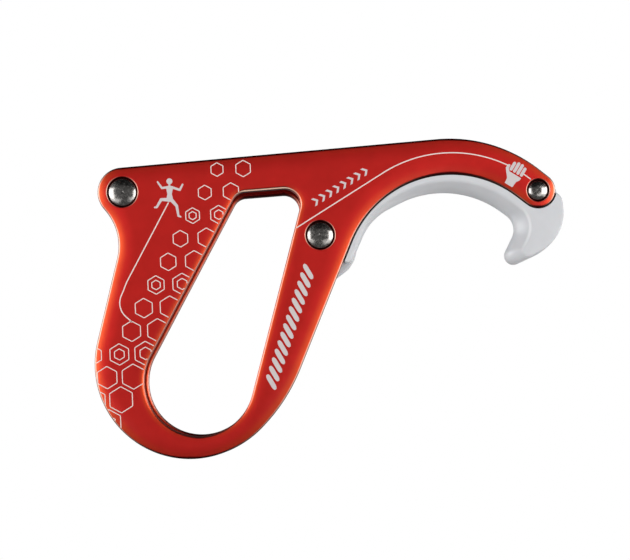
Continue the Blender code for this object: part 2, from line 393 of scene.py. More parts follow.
def inside(points, ring):
    """Which (x, z) points lie inside a closed ring."""
    corners = np.array(ring)
    following = np.roll(corners, -1, axis=0)
    within = np.zeros(len(points), bool)
    for (ax, az), (bx, bz) in zip(corners, following):
        if az == bz:
            continue
        crosses = (az > points[:, 1]) != (bz > points[:, 1])
        where = ax + (points[:, 1] - az) * (bx - ax) / (bz - az)
        within ^= crosses & (points[:, 0] < where)
    return within


def edge_distance(points):
    """Distance of points to the nearer of the plate's outline and the carabiner slot."""
    return np.minimum(distance_to_belt(points, PLATE_OUTLINE),
                      distance_to_belt(points, CARABINER_SLOT))


def on_metal(points):
    """Which points lie inside the plate's outline and outside the slot."""
    within = inside(points, belt(PLATE_OUTLINE, belt_counts(PLATE_OUTLINE)))
    return within & ~inside(points, belt(CARABINER_SLOT, belt_counts(CARABINER_SLOT)))


def sideways(points):
    """How far the edge nearest to each point faces left or right, 0 where it faces up or down."""
    step = np.array((0.00002, 0.0))
    depths = []
    for moved in (points + step, points - step):
        depths.append(np.where(on_metal(moved), 1, -1) * edge_distance(moved))
    return np.clip(abs(depths[0] - depths[1]) / (2 * step[0]), 0, 1)


def pillowed_edges(plate):
    """Each edge of the plate: arcs, sense of the metal, pillow width and pillow drop."""
    return ((PLATE_OUTLINE, -1, plate.pillow_width, plate.pillow_drop),
            (CARABINER_SLOT, 1, plate.slot_pillow_width, plate.slot_pillow_drop))


def pillow_fall(points, plate):
    """How far the tumbled face has fallen at every (x, z) point."""
    fall = np.zeros(len(points))
    for arcs, _, width, drop in pillowed_edges(plate):
        fall += drop * np.clip(1 - distance_to_belt(points, arcs) / width, 0, 1) ** PILLOW_POWER
    return fall


def on_plate(points, margin):
    """Which points lie on the metal, at least margin from its edges."""
    return on_metal(points) & (edge_distance(points) >= margin)


# Objects, meshes and nodes

def new_object(name, mesh):
    """Link a mesh to the scene as a named object at the origin."""
    piece = bpy.data.objects.new(name, mesh)
    bpy.context.scene.collection.objects.link(piece)
    return piece


def set_attribute(mesh, label, values):
    """Store one number for every corner of a mesh."""
    stored = mesh.attributes.new(label, "FLOAT", "POINT")
    stored.data.foreach_set("value", values.astype(np.float32))


def closed_outwards(mesh):
    """Turn all faces outwards and stop if the mesh has a gap."""
    bm = bmesh.new()
    bm.from_mesh(mesh)
    open_edges = sum(1 for edge in bm.edges if len(edge.link_faces) != 2)
    if open_edges:
        raise RuntimeError(f"{mesh.name} has {open_edges} open edges")
    bmesh.ops.recalc_face_normals(bm, faces=bm.faces[:])
    bm.to_mesh(mesh)
    bm.free()


def finished_piece(piece, surface, replaced=()):
    """Give a piece its material and its body, and hide the imported parts that it replaces."""
    piece.data.materials.clear()
    piece.data.materials.append(surface)
    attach(piece, "root")
    if replaced:
        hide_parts(*replaced)
    return piece


def add_node(tree, kind, inputs=None, **settings):
    """Add a node; inputs maps a socket to its value or to the output that feeds it."""
    node = tree.nodes.new(kind)
    for name, value in settings.items():
        setattr(node, name, value)
    for key, value in (inputs or {}).items():
        if isinstance(value, bpy.types.NodeSocket):
            tree.links.new(value, node.inputs[key])
        else:
            node.inputs[key].default_value = value
    return node


def new_surface(name):
    """Empty node material and its tree."""
    surface = bpy.data.materials.new(name)
    surface.use_nodes = True
    surface.node_tree.nodes.clear()
    return surface, surface.node_tree


def new_geometry_tree(name, sizes):
    """Geometry Nodes tree with inputs for a geometry, a material and named sizes."""
    tree = bpy.data.node_groups.new(name, "GeometryNodeTree")
    tree.interface.new_socket(name="Geometry", in_out="OUTPUT", socket_type="NodeSocketGeometry")
    for label, kind in {"Geometry": "Geometry", "Material": "Material", **sizes}.items():
        tree.interface.new_socket(name=label, in_out="INPUT", socket_type=f"NodeSocket{kind}")
    return tree, add_node(tree, "NodeGroupInput").outputs


def close_geometry_tree(tree, geometry, given):
    """End a tree in Realize Instances and Set Material."""
    realized = add_node(tree, "GeometryNodeRealizeInstances", {"Geometry": geometry})
    finished = add_node(tree, "GeometryNodeSetMaterial",
                        {"Geometry": realized.outputs[0], "Material": given["Material"]})
    add_node(tree, "NodeGroupOutput", {0: finished.outputs[0]})


def grown_by_nodes(name, tree, values, mesh=None):
    """Plain mesh object that a tree grows from a mesh and its named input values."""
    seed = new_object(f"{name}_seed", mesh or bpy.data.meshes.new(f"{name}_seed"))
    modifier = seed.modifiers.new("grow", "NODES")
    modifier.node_group = tree
    for socket in tree.interface.items_tree:
        if socket.item_type == "SOCKET" and socket.in_out == "INPUT" and socket.name in values:
            modifier[socket.identifier] = values[socket.name]
    graph = bpy.context.evaluated_depsgraph_get()
    grown = bpy.data.meshes.new_from_object(seed.evaluated_get(graph), depsgraph=graph)
    bpy.data.objects.remove(seed)
    grown.name = name
    if not grown.polygons:
        raise RuntimeError(f"the tree {tree.name} grew nothing for {name}")
    return new_object(name, grown)


# Plates

def plate_rings(arcs, sense, width, drop, radius):
    """Rings of points from the outer face over the rounded edge, the wall and the inner edge.

    Gives (points, depth under the outer plane, turn from face to wall in degrees) for each ring.
    Sense is -1 where the metal lies inside the belt and 1 where it lies outside.
    """
    counts = belt_counts(arcs)
    slope = PILLOW_POWER * drop / width * (1 - radius / width) ** (PILLOW_POWER - 1)
    tilt = math.atan(slope)
    first_inset = radius * (1 - math.sin(tilt))
    first_fall = drop * (1 - first_inset / width) ** PILLOW_POWER
    rings = []
    for step in range(EDGE_STEPS + 1):
        angle = tilt + (math.pi / 2 - tilt) * step / EDGE_STEPS
        inset = radius * (1 - math.sin(angle))
        fall = first_fall + radius * (math.cos(tilt) - math.cos(angle))
        rings.append((belt(arcs, counts, sense * inset), fall, math.degrees(angle)))
    rings.append((belt(arcs, counts), PLATE_THICKNESS / 2, 90.0))
    for step in range(EDGE_STEPS + 1):
        angle = math.pi / 2 * (1 - step / EDGE_STEPS)
        inset = radius * (1 - math.sin(angle))
        fall = PLATE_THICKNESS - radius * (1 - math.cos(angle))
        rings.append((belt(arcs, counts, sense * inset), fall, math.degrees(angle)))
    return rings


def circle(centre, radius):
    """Ring of points round a pin."""
    angles = [math.tau * step / SEAT_SEGMENTS for step in range(SEAT_SEGMENTS)]
    return [(centre[0] + radius * math.cos(a), centre[1] + radius * math.sin(a)) for a in angles]


def scattered_face_points(plate, holes, first_inset):
    """Points that carry a face's pillow: rings beside every edge and a lattice between them."""
    chosen, taken = [], set()
    cell = 0.0001

    def accept(candidates, cells):
        """Take each candidate that has no point yet within so many cells."""
        reach = range(1 - cells, cells)
        for x, z in candidates:
            column, row = int(x / cell), int(z / cell)
            if not any((column + i, row + k) in taken for i in reach for k in reach):
                taken.add((column, row))
                chosen.append((x, z))

    for share in PILLOW_RINGS:
        for arcs, sense, width, _ in pillowed_edges(plate):
            inset = first_inset + (width - first_inset) * share
            ring = np.array(belt(arcs, belt_counts(arcs), sense * inset))
            clear = edge_distance(ring) > inset - 1e-6
            for centre, radius in holes:
                clear &= np.hypot(*(ring - centre).T) > radius + POINT_GAP
            accept(ring[clear].tolist(), 1)
    for centre, radius in holes:
        for gap in SEAT_RINGS:
            ring = np.array(circle(centre, radius + gap))
            clear = edge_distance(ring) > first_inset + POINT_GAP
            accept(ring[clear].tolist(), 2)
    (low_x, low_z), (high_x, high_z) = FACE_BOX
    lattice = []
    for row in range(int((high_z - low_z) / (FACE_LATTICE * LATTICE_ROW))):
        start = low_x + FACE_LATTICE / 2 * (row % 2)
        level = low_z + row * FACE_LATTICE * LATTICE_ROW
        lattice += [(start + column * FACE_LATTICE, level)
                    for column in range(int((high_x - low_x) / FACE_LATTICE))]
    lattice = np.array(lattice)
    # The lattice fills the flat middle, and starts a little inside the last ring of the pillow
    clear = on_plate(lattice, plate.pillow_width + 0.0004)
    for centre, radius in holes:
        clear &= np.hypot(*(lattice - centre).T) > radius + FACE_LATTICE
    accept(lattice[clear].tolist(), 2)
    return chosen


def filled_region(outer, holes, loose):
    """Triangles between an outer ring and its holes, through loose points as well.

    Points are numbered through outer, holes and loose in that order.
    """
    flat, edges = [], []
    for ring in (outer, *holes):
        start = len(flat)
        flat += ring
        edges += [(start + n, start + (n + 1) % len(ring)) for n in range(len(ring))]
    flat += loose
    scaled = [Vector((x / MM, z / MM)) for x, z in flat]
    made = delaunay_2d_cdt(scaled, edges, [list(range(len(outer)))], 1, 1e-6)
    corners = np.array([tuple(corner) for corner in made[0]]) * MM
    triangles = [tuple(face) for face in made[2]]
    middles = corners[np.array(triangles)].mean(axis=1)
    keep = np.ones(len(triangles), bool)
    for ring in holes:
        keep &= ~inside(middles, ring)
    originals = [source[0] for source in made[3]]
    return [tuple(originals[n] for n in face) for face, kept in zip(triangles, keep) if kept]


def rivet_seats():
    """Centre and profile of each seat, from its chamfered mouth over the counterbore to the hole.

    Each row of a profile is (radius, depth, turn in degrees, whether it follows the pillow).
    """
    seats = []
    for centre, head, shank, depth in RIVETS.values():
        bore, hole = head + FIT, shank + FIT
        seats.append((centre, [
            (bore + SEAT_CHAMFER + 0.00003, 0.0, 12.0, True),
            (bore + SEAT_CHAMFER - 0.00006, 0.00005, 32.0, True),
            (bore + 0.00006, SEAT_CHAMFER - 0.00006, 60.0, True),
            (bore, SEAT_CHAMFER + 0.00004, 90.0, True),
            (bore, depth, 90.0, False),
            (hole, depth, 90.0, False),
            (hole, PLATE_THICKNESS, 90.0, False),
        ]))
    return seats


def wear_and_painted_light(flat, turn, fall, slot, rim, seats):
    """Painted glow over a little thinned dye, painted edge highlights and painted wall shade, per
    corner.

    Slot and rim are the corners of the slot and of its outer rounded edge. Seats gives (x of the
    centre, radius of the mouth, corners) for each rivet seat.
    """
    # Painted glow: edges that face left or right turn orange as if lit by the side softboxes,
    # and every other edge keeps a faint orange of thinned dye
    flank = sideways(flat)
    reach = np.zeros(len(flat))
    for arcs, start, width in ((PLATE_OUTLINE, 0.0030, 0.0024), (CARABINER_SLOT, 0.0018, 0.0015)):
        reach = np.maximum(reach, np.clip((start - distance_to_belt(flat, arcs)) / width, 0, 1))
    wear_and_glow = reach ** 2 * (3 - 2 * reach) * (0.1 + 0.9 * flank ** 1.5)

    # Painted highlight: on the slot's edge it grows from the round end upwards and is weaker on the
    # flanks, and on a seat's mouth it lies on the left and right sides
    rubbed = flank ** 2.5
    rubbed[rim] = np.clip((flat[rim, 1] + 0.012) / 0.012, 0.1, 1) * (1 - 0.4 * flank[rim])
    for centre_x, mouth, ring in seats:
        rubbed[ring] = (abs(flat[ring, 0] - centre_x) / mouth) ** 1.5
        flank[ring] = 1.0

    # Turn of the edge in degrees where the painted highlight lies
    middle = 50 - 18 * flank
    # Along the slot's left side the painted highlight lies further round the edge
    middle[slot] += 22 * flank[slot] * (flat[slot, 0] < SLOT_LEAN * flat[slot, 1])
    edge_highlights = rubbed * np.clip(2 - flank / 2 - abs(turn - middle) / (14 - 3 * flank), 0, 1)

    # Painted shade: walls that face up or down, less so in the slot, and the inner faces between
    # the plates take the dark wall colour
    walls = np.clip((turn - 3 - 41 * flank) / 9, 0, 1)
    walls[slot] *= 1 - 0.65 * flank[slot]
    walls = np.maximum(walls, 0.55 * (fall > 0.99 * PLATE_THICKNESS))
    return {"wear_and_painted_glow": wear_and_glow, "painted_edge_highlight": edge_highlights, "painted_wall_shade": walls}


def side_plate(name, side, plate):
    """One tumbled plate with its pillowed faces, slot and three chamfered rivet seats."""
    outer_rings, slot_rings = [plate_rings(*edge, plate.edge_radius)
                               for edge in pillowed_edges(plate)]
    seats = rivet_seats()
    corners, falls, turns, pillowed, faces = [], [], [], [], []

    def add_ring(points, fall, turn=0.0, on_pillow=False):
        """Add corners with one fall and turn, on the pillow or off it, and give their numbers."""
        start = len(corners)
        corners.extend(points)
        falls.extend([fall] * len(points))
        turns.extend([turn] * len(points))
        pillowed.extend([on_pillow] * len(points))
        return range(start, start + len(points))

    def bridge(ring, following):
        """Add the faces between two rings of equal count."""
        for number in range(len(ring)):
            faces.append((ring[number - 1], ring[number], following[number], following[number - 1]))

    outer_numbers = [add_ring(*ring) for ring in outer_rings]
    slot_numbers = [add_ring(*ring) for ring in slot_rings]
    seat_numbers = []
    for centre, profile in seats:
        seat_numbers.append([add_ring(circle(centre, radius), *rest) for radius, *rest in profile])
    for numbers in (outer_numbers, slot_numbers, *seat_numbers):
        for ring, following in zip(numbers, numbers[1:]):
            bridge(ring, following)

    # Outer face with its pillow, then the flat inner face
    mouths = [(centre, profile[0][0]) for centre, profile in seats]
    throats = [(centre, profile[-1][0]) for centre, profile in seats]
    for position, openings in ((0, mouths), (-1, throats)):
        loose = scattered_face_points(plate, openings, plate.edge_radius)
        loose_numbers = add_ring(loose, -position * PLATE_THICKNESS, 0.0, position == 0)
        rings = [numbers[position] for numbers in (outer_numbers, slot_numbers, *seat_numbers)]
        order = [n for ring in rings for n in ring] + list(loose_numbers)
        outlines = [[corners[n] for n in ring] for ring in rings]
        for face in filled_region(outlines[0], outlines[1:], loose):
            faces.append(tuple(order[n] for n in face))

    flat = np.array(corners)
    fall = np.clip(np.array(falls) + np.array(pillowed) * pillow_fall(flat, plate), FACE_SINK, None)
    level = side * (PLATE_OUTER - fall)
    mesh = bpy.data.meshes.new(name)
    mesh.from_pydata(np.column_stack((flat[:, 0], level, flat[:, 1])).tolist(), [], faces)

    slot = slice(slot_numbers[0][0], slot_numbers[-1][-1] + 1)
    rim = slice(slot_numbers[0][0], slot_numbers[EDGE_STEPS][-1] + 1)
    lit_seats = [(centre[0], profile[0][0], slice(numbers[0][0], numbers[-1][-1] + 1))
                  for (centre, profile), numbers in zip(seats, seat_numbers)]
    wear_and_light = wear_and_painted_light(flat, np.array(turns), fall, slot, rim, lit_seats)
    for label, values in wear_and_light.items():
        set_attribute(mesh, label, values)
    closed_outwards(mesh)
    mesh.shade_smooth()
    mesh.set_sharp_from_angle(angle=math.radians(40))
    return new_object(name, mesh)


# Turned pieces

def unrolled_grid(tree, given, rows):
    """Grid to wrap into a turned piece, as (grid, share of the turn, number of the row)."""
    columns = add_node(tree, "ShaderNodeMath", {0: given["Segments"], 1: 1}, operation="ADD")
    grid = add_node(tree, "GeometryNodeMeshGrid", {
        "Size X": 1.0, "Size Y": 1.0, "Vertices X": rows, "Vertices Y": columns.outputs[0]})
    position = add_node(tree, "GeometryNodeInputPosition")
    place = add_node(tree, "ShaderNodeSeparateXYZ", {0: position.outputs[0]})
    scaled = add_node(tree, "ShaderNodeMath", {
        0: place.outputs["X"], 1: rows - 1.0, 2: (rows - 1) / 2}, operation="MULTIPLY_ADD")
    row = add_node(tree, "ShaderNodeMath", {0: scaled.outputs[0]}, operation="ROUND")
    return grid.outputs[0], place.outputs["Y"], row.outputs[0]


def revolved(tree, grid, turn, radius, level):
    """Wrap a grid round the Y axis, each row at its own radius and level towards -Y."""
    angle = add_node(tree, "ShaderNodeMath", {0: turn, 1: math.tau},
                     operation="MULTIPLY").outputs[0]
    cosine = add_node(tree, "ShaderNodeMath", {0: angle}, operation="COSINE").outputs[0]
    sine = add_node(tree, "ShaderNodeMath", {0: angle}, operation="SINE").outputs[0]
    across = add_node(tree, "ShaderNodeMath", {0: cosine, 1: radius}, operation="MULTIPLY")
    up = add_node(tree, "ShaderNodeMath", {0: sine, 1: radius}, operation="MULTIPLY")
    forward = add_node(tree, "ShaderNodeMath", {0: level, 1: -1.0}, operation="MULTIPLY")
    corner = add_node(tree, "ShaderNodeCombineXYZ", {
        "X": across.outputs[0], "Y": forward.outputs[0], "Z": up.outputs[0]})
    wrapped = add_node(tree, "GeometryNodeSetPosition", {
        "Geometry": grid, "Position": corner.outputs[0]})
    return wrapped.outputs[0]


def close_turned_tree(tree, geometry, given):
    """Merge the seam and poles of a turned piece, move it to its pin and end its tree."""
    merged = add_node(tree, "GeometryNodeMergeByDistance", {"Geometry": geometry, "Distance": 1e-6})
    moved = add_node(tree, "GeometryNodeTransform", {
        "Geometry": merged.outputs[0], "Translation": given["Pin Centre"]})
    close_geometry_tree(tree, moved.outputs[0], given)


def rivet_tree():
    """Tree of one rivet: two domed heads with a dimple on a shank, grown from its sizes."""
    tree, given = new_geometry_tree("domed_rivet", {
        "Head Radius": "Float", "Shank Radius": "Float", "Dome Rise": "Float",
        "Head Level": "Float", "Under Level": "Float", "Rim Round": "Float",
        "Dimple Radius": "Float", "Dimple Depth": "Float", "Segments": "Int",
        "Pin Centre": "Vector"})
    # Rows cross the dome; the last three lie under the rim, at the shank and on the middle plane
    dome_steps = 20
    grid, turn, row = unrolled_grid(tree, given, dome_steps + 4)
    share = add_node(tree, "ShaderNodeMath", {0: row, 1: float(dome_steps)},
                     operation="DIVIDE", use_clamp=True).outputs[0]
    dome_radius = add_node(tree, "ShaderNodeMath", {0: share, 1: given["Head Radius"]},
                           operation="MULTIPLY").outputs[0]
    # A cold-headed dome is flatter in the middle than a ball
    rise = add_node(tree, "ShaderNodeMath", {0: share, 1: 2.8}, operation="POWER").outputs[0]
    sag = add_node(tree, "ShaderNodeMath", {0: rise, 1: given["Dome Rise"]}, operation="MULTIPLY")
    dimple = add_node(tree, "ShaderNodeMapRange", {
        "Value": dome_radius, "From Min": 0.0, "From Max": given["Dimple Radius"],
        "To Min": given["Dimple Depth"], "To Max": 0.0}, interpolation_type="SMOOTHSTEP")
    # The outer seventh of the head rolls over to its rim
    rim_share = add_node(tree, "ShaderNodeMapRange", {
        "Value": share, "From Min": 0.86, "From Max": 1.0, "To Min": 0.0, "To Max": 1.0})
    rim_curve = add_node(tree, "ShaderNodeMath", {0: rim_share.outputs[0], 1: 3.0},
                         operation="POWER")
    rim_fall = add_node(tree, "ShaderNodeMath", {
        0: rim_curve.outputs[0], 1: given["Rim Round"], 2: dimple.outputs[0]},
        operation="MULTIPLY_ADD")
    all_fall = add_node(tree, "ShaderNodeMath", {0: sag.outputs[0], 1: rim_fall.outputs[0]},
                        operation="ADD")
    dome = add_node(tree, "ShaderNodeMath", {0: given["Head Level"], 1: all_fall.outputs[0]},
                    operation="SUBTRACT").outputs[0]
    past_dome = add_node(tree, "ShaderNodeMath", {0: row, 1: dome_steps + 0.5},
                         operation="GREATER_THAN").outputs[0]
    past_under = add_node(tree, "ShaderNodeMath", {0: row, 1: dome_steps + 1.5},
                          operation="GREATER_THAN").outputs[0]
    at_middle = add_node(tree, "ShaderNodeMath", {0: row, 1: dome_steps + 2.5},
                         operation="GREATER_THAN").outputs[0]
    low = add_node(tree, "ShaderNodeMix", {
        "Factor": at_middle, "A": given["Under Level"], "B": 0.0})
    level = add_node(tree, "ShaderNodeMix", {"Factor": past_dome, "A": dome, "B": low.outputs[0]})
    radius = add_node(tree, "ShaderNodeMix", {
        "Factor": past_under, "A": dome_radius, "B": given["Shank Radius"]})
    # The front half and its mirror image, whose faces are turned back outwards
    front = revolved(tree, grid, turn, radius.outputs[0], level.outputs[0])
    mirrored = add_node(tree, "GeometryNodeTransform", {"Geometry": front, "Scale": (1, -1, 1)})
    facing = add_node(tree, "GeometryNodeFlipFaces", {"Mesh": mirrored.outputs[0]})
    both = add_node(tree, "GeometryNodeJoinGeometry")
    tree.links.new(front, both.inputs[0])
    tree.links.new(facing.outputs[0], both.inputs[0])
    close_turned_tree(tree, both.outputs[0], given)
    return tree


def sleeve_tree():
    """Tree of one spacer sleeve: a tube with a broken edge at both ends."""
    tree, given = new_geometry_tree("spacer_sleeve", {
        "Outer Radius": "Float", "Bore Radius": "Float", "Half Length": "Float",
        "Chamfer": "Float", "Segments": "Int", "Pin Centre": "Vector"})
    outer, bore, half = given["Outer Radius"], given["Bore Radius"], given["Half Length"]
    eased = add_node(tree, "ShaderNodeMath", {0: outer, 1: given["Chamfer"]},
                     operation="SUBTRACT").outputs[0]
    shorter = add_node(tree, "ShaderNodeMath", {0: half, 1: given["Chamfer"]},
                       operation="SUBTRACT").outputs[0]
    far = add_node(tree, "ShaderNodeMath", {0: half, 1: -1.0}, operation="MULTIPLY").outputs[0]
    far_shorter = add_node(tree, "ShaderNodeMath", {0: shorter, 1: -1.0},
                           operation="MULTIPLY").outputs[0]
    profile = ((bore, half), (eased, half), (outer, shorter), (outer, far_shorter), (eased, far),
               (bore, far), (bore, half))
    grid, turn, row = unrolled_grid(tree, given, len(profile))
    radii = add_node(tree, "GeometryNodeIndexSwitch", {"Index": row}, data_type="FLOAT")
    levels = add_node(tree, "GeometryNodeIndexSwitch", {"Index": row}, data_type="FLOAT")
    for number, (radius, level) in enumerate(profile):
        if number >= 2:
            radii.index_switch_items.new()
            levels.index_switch_items.new()
        tree.links.new(radius, radii.inputs[number + 1])
        tree.links.new(level, levels.inputs[number + 1])
    tube = revolved(tree, grid, turn, radii.outputs[0], levels.outputs[0])
    close_turned_tree(tree, tube, given)
    return tree


def smooth_turned(piece, crease):
    """Outward faces and smooth round sides of a turned piece."""
    closed_outwards(piece.data)
    piece.data.shade_smooth()
    piece.data.set_sharp_from_angle(angle=math.radians(crease))


# Saddle

def blend_arcs(first, second, share):
    """Arcs that lie between two like lists, share 0 giving the first and 1 the second."""
    return [tuple(a + (b - a) * share for a, b in zip(one, other))
            for one, other in zip(first, second)]


def core_arcs(y):
    """Outline of the saddle's core at one level: the rope floor dips to a groove in the middle."""
    dip = GROOVE_DEPTH * (1 - (y / CORE_HALF_WIDTH) ** 2)
    return [
        (0.0356, 0.0296, 0.0020),
        (0.0382, 0.0376, 0.0068),
        (0.0627, 0.0352, -0.0177),
        (0.0709, 0.0266, -0.0294),
        (0.0860, 0.0443, -0.0075),
        (0.0983, 0.0460, 0.0036),
        (0.0974, 0.0536, 0.0053),
        (*ARM_CENTRE, ROPE_FLOOR - dip),
        (0.0406, 0.0442, SEAT_LIP - dip / 3),
        (*BRAKE_PIN, -(SLEEVE_RADIUS["brake"] + FIT)),
        (0.0316, 0.0359, 0.0008),
    ]


def lofted(name, stations):
    """Solid through outlines of equal count, each given as (y, points)."""
    bm = bmesh.new()
    rings = [[bm.verts.new((x, y, z)) for x, z in points] for y, points in stations]
    for ring, following in zip(rings, rings[1:]):
        for number, corner in enumerate(ring):
            bm.faces.new((ring[number - 1], corner, following[number], following[number - 1]))
    bm.faces.new(rings[0])
    bm.faces.new(rings[-1])
    bmesh.ops.remove_doubles(bm, verts=bm.verts[:], dist=1e-7)
    bmesh.ops.recalc_face_normals(bm, faces=bm.faces[:])
    mesh = bpy.data.meshes.new(name)
    bm.to_mesh(mesh)
    bm.free()
    return new_object(name, mesh)


def crowned_stations(outline_at, half_width, edge_radius, steps):
    """Outlines across the full thickness of a moulding with rounded edges at both faces."""
    counts = belt_counts(outline_at(0.0), MOULDING_SAGITTA, MOULDING_RUN_STEP)
    flat = half_width - edge_radius
    levels = [(flat * step / steps, 0.0) for step in range(steps)]
    edge_steps = 6
    for step in range(edge_steps + 1):
        angle = math.pi / 2 * step / edge_steps
        levels.append((flat + edge_radius * math.sin(angle), edge_radius * (1 - math.cos(angle))))
    half = [(y, belt(outline_at(y), counts, -inset)) for y, inset in levels]
    return [(-y, points) for y, points in reversed(half[1:])] + half


def combine(piece, tool, operation):
    """Exact Boolean of a piece with a tool that is then thrown away."""
    modifier = piece.modifiers.new(operation.lower(), "BOOLEAN")
    modifier.operation = operation
    modifier.solver = "EXACT"
    modifier.object = tool
    graph = bpy.context.evaluated_depsgraph_get()
    result = bpy.data.meshes.new_from_object(piece.evaluated_get(graph), depsgraph=graph)
    piece.modifiers.clear()
    piece.data = result
    bpy.data.objects.remove(tool)


def saddle_moulding(name, settings):
    """Crowned belly that nests both plates, joined to the core that carries the rope."""
    def belly_at(y):
        """Outline of the belly at one level across its thickness."""
        return blend_arcs(BELLY_CROWN, BELLY_SIDE, (y / BELLY_HALF_WIDTH) ** CROWN_POWER)

    saddle = lofted(name, crowned_stations(
        belly_at, BELLY_HALF_WIDTH, BELLY_EDGE_RADIUS, settings.crown_steps))
    rim = belt(PLATE_OUTLINE, belt_counts(PLATE_OUTLINE, MOULDING_SAGITTA, MOULDING_RUN_STEP), FIT)
    for side in (-1, 1):
        inner, outer = side * CORE_HALF_WIDTH, side * (PLATE_OUTER + FIT)
        combine(saddle, lofted("plate_space", [(inner, rim), (outer, rim)]), "DIFFERENCE")
    core_at_levels = crowned_stations(core_arcs, CORE_HALF_WIDTH, CORE_EDGE_RADIUS, steps=8)
    combine(saddle, lofted("core", core_at_levels), "UNION")
    hole = circle(HOOK_PIN, SLEEVE_RADIUS["hook"] + FIT)
    combine(saddle, lofted("bore", [(-PLATE_INNER, hole), (PLATE_INNER, hole)]), "DIFFERENCE")
    saddle.data.name = name
    # Painted highlight, strongest half way round the edge, on the nose's side of its hollow
    x, y, z = np.array([corner.co for corner in saddle.data.vertices], float).T
    hollow_x, hollow_z, hollow_radius = BELLY_SIDE[3]
    turn = np.clip((abs(y) - BELLY_HALF_WIDTH) / BELLY_EDGE_RADIUS + 1, 0, 1)
    gap = abs(np.hypot(x - hollow_x, z - hollow_z) + hollow_radius)
    near = np.clip(1.5 - gap / HIGHLIGHT_REACH, 0, 1)
    near *= np.clip((x - hollow_x) / HIGHLIGHT_START - 1, 0, 1)
    set_attribute(saddle.data, "painted_crease_highlight", np.sin(2 * np.arcsin(turn)) * near)
    saddle.data.shade_smooth()
    saddle.data.set_sharp_from_angle(angle=math.radians(28))
    return saddle


# Laser marks

def densified(points, step, closed=False):
    """Polyline with a point at least every step."""
    dense = []
    pairs = list(zip(points, points[1:] + points[:1] if closed else points[1:]))
    for first, last in pairs:
        count = max(1, math.ceil(math.dist(first, last) / step))
        dense += [tuple(a + (b - a) * n / count for a, b in zip(first, last)) for n in range(count)]
    return dense if closed else dense + [points[-1]]


def arc_run(centre, radius, start, end, steps=60):
    """Points along a circular arc, angles in degrees."""
    angles = [math.radians(start + (end - start) * step / steps) for step in range(steps + 1)]
    return [(centre[0] + radius * math.cos(a), centre[1] + radius * math.sin(a)) for a in angles]


def kept_stretches(points, closed, margin):
    """Stretches of a polyline that lie on the plate, as (points, closed)."""
    dense = densified(points, LINE_STEP, closed)
    good = on_plate(np.array(dense), margin)
    if good.all():
        return [(dense, closed)]
    if closed:
        first_bad = int(np.argmin(good))
        dense = dense[first_bad:] + dense[:first_bad]
        good = np.roll(good, -first_bad)
    stretches, current = [], []
    for point, fine in zip(dense, good):
        if fine:
            current.append(point)
        elif current:
            stretches.append(current)
            current = []
    if current:
        stretches.append(current)
    return [(stretch, False) for stretch in stretches if len(stretch) > 3]


def line_mesh(name, stretches):
    """Edge mesh of flat polylines, X and Z laid into X and Y for the line tree."""
    corners, edges = [], []
    for points, closed in stretches:
        start = len(corners)
        corners += [(x, z, 0.0) for x, z in points]
        count = len(points)
        edges += [(start + n, start + (n + 1) % count)
                  for n in range(count if closed else count - 1)]
    mesh = bpy.data.meshes.new(name)
    mesh.from_pydata(corners, edges, [])
    return mesh


def line_tree():
    """Tree that sweeps a flat ribbon along every polyline and stands it against the front plate."""
    tree, given = new_geometry_tree("engraved_line", {"Line Width": "Float", "Line Depth": "Float"})
    curve = add_node(tree, "GeometryNodeMeshToCurve", {"Mesh": given["Geometry"]})
    upright = add_node(tree, "GeometryNodeSetCurveNormal", {"Curve": curve.outputs[0]}, mode="Z_UP")
    ribbon = add_node(tree, "GeometryNodeCurvePrimitiveQuadrilateral", {
        "Width": given["Line Width"], "Height": given["Line Depth"]})
    swept = add_node(tree, "GeometryNodeCurveToMesh", {
        "Curve": upright.outputs[0], "Profile Curve": ribbon.outputs[0], "Fill Caps": True})
    stood = add_node(tree, "GeometryNodeTransform", {
        "Geometry": swept.outputs[0], "Rotation": (math.pi / 2, 0, 0)})
    close_geometry_tree(tree, stood.outputs[0], given)
    return tree


def row_tree():
    """Tree that repeats a flat mark along a straight row and stands it against the front plate."""
    tree, given = new_geometry_tree("marks_in_a_row", {
        "Count": "Int", "Pitch": "Float", "Heading": "Float", "Start": "Vector"})
    step = add_node(tree, "ShaderNodeCombineXYZ", {"X": given["Pitch"]})
    places = add_node(tree, "GeometryNodeMeshLine", {
        "Count": given["Count"], "Offset": step.outputs[0]}, mode="OFFSET")
    copies = add_node(tree, "GeometryNodeInstanceOnPoints", {
        "Points": places.outputs[0], "Instance": given["Geometry"]})
    turn = add_node(tree, "ShaderNodeCombineXYZ", {"Z": given["Heading"]})
    turned = add_node(tree, "GeometryNodeTransform", {
        "Geometry": copies.outputs[0], "Rotation": turn.outputs[0], "Translation": given["Start"]})
    stood = add_node(tree, "GeometryNodeTransform", {
        "Geometry": turned.outputs[0], "Rotation": (math.pi / 2, 0, 0)})
    close_geometry_tree(tree, stood.outputs[0], given)
    return tree


def lay_on_plate(piece, plate, sink=0.0):
    """Move a mark that stands at Y 0 onto the pillowed front face, and sink further back."""
    mesh = piece.data
    flat = np.zeros(len(mesh.vertices) * 3)
    mesh.vertices.foreach_get("co", flat)
    corners = flat.reshape(-1, 3)
    fall = np.clip(pillow_fall(corners[:, [0, 2]], plate), FACE_SINK, None)
    corners[:, 1] += sink + fall - PLATE_OUTER
    mesh.vertices.foreach_set("co", corners.ravel())
    mesh.update()


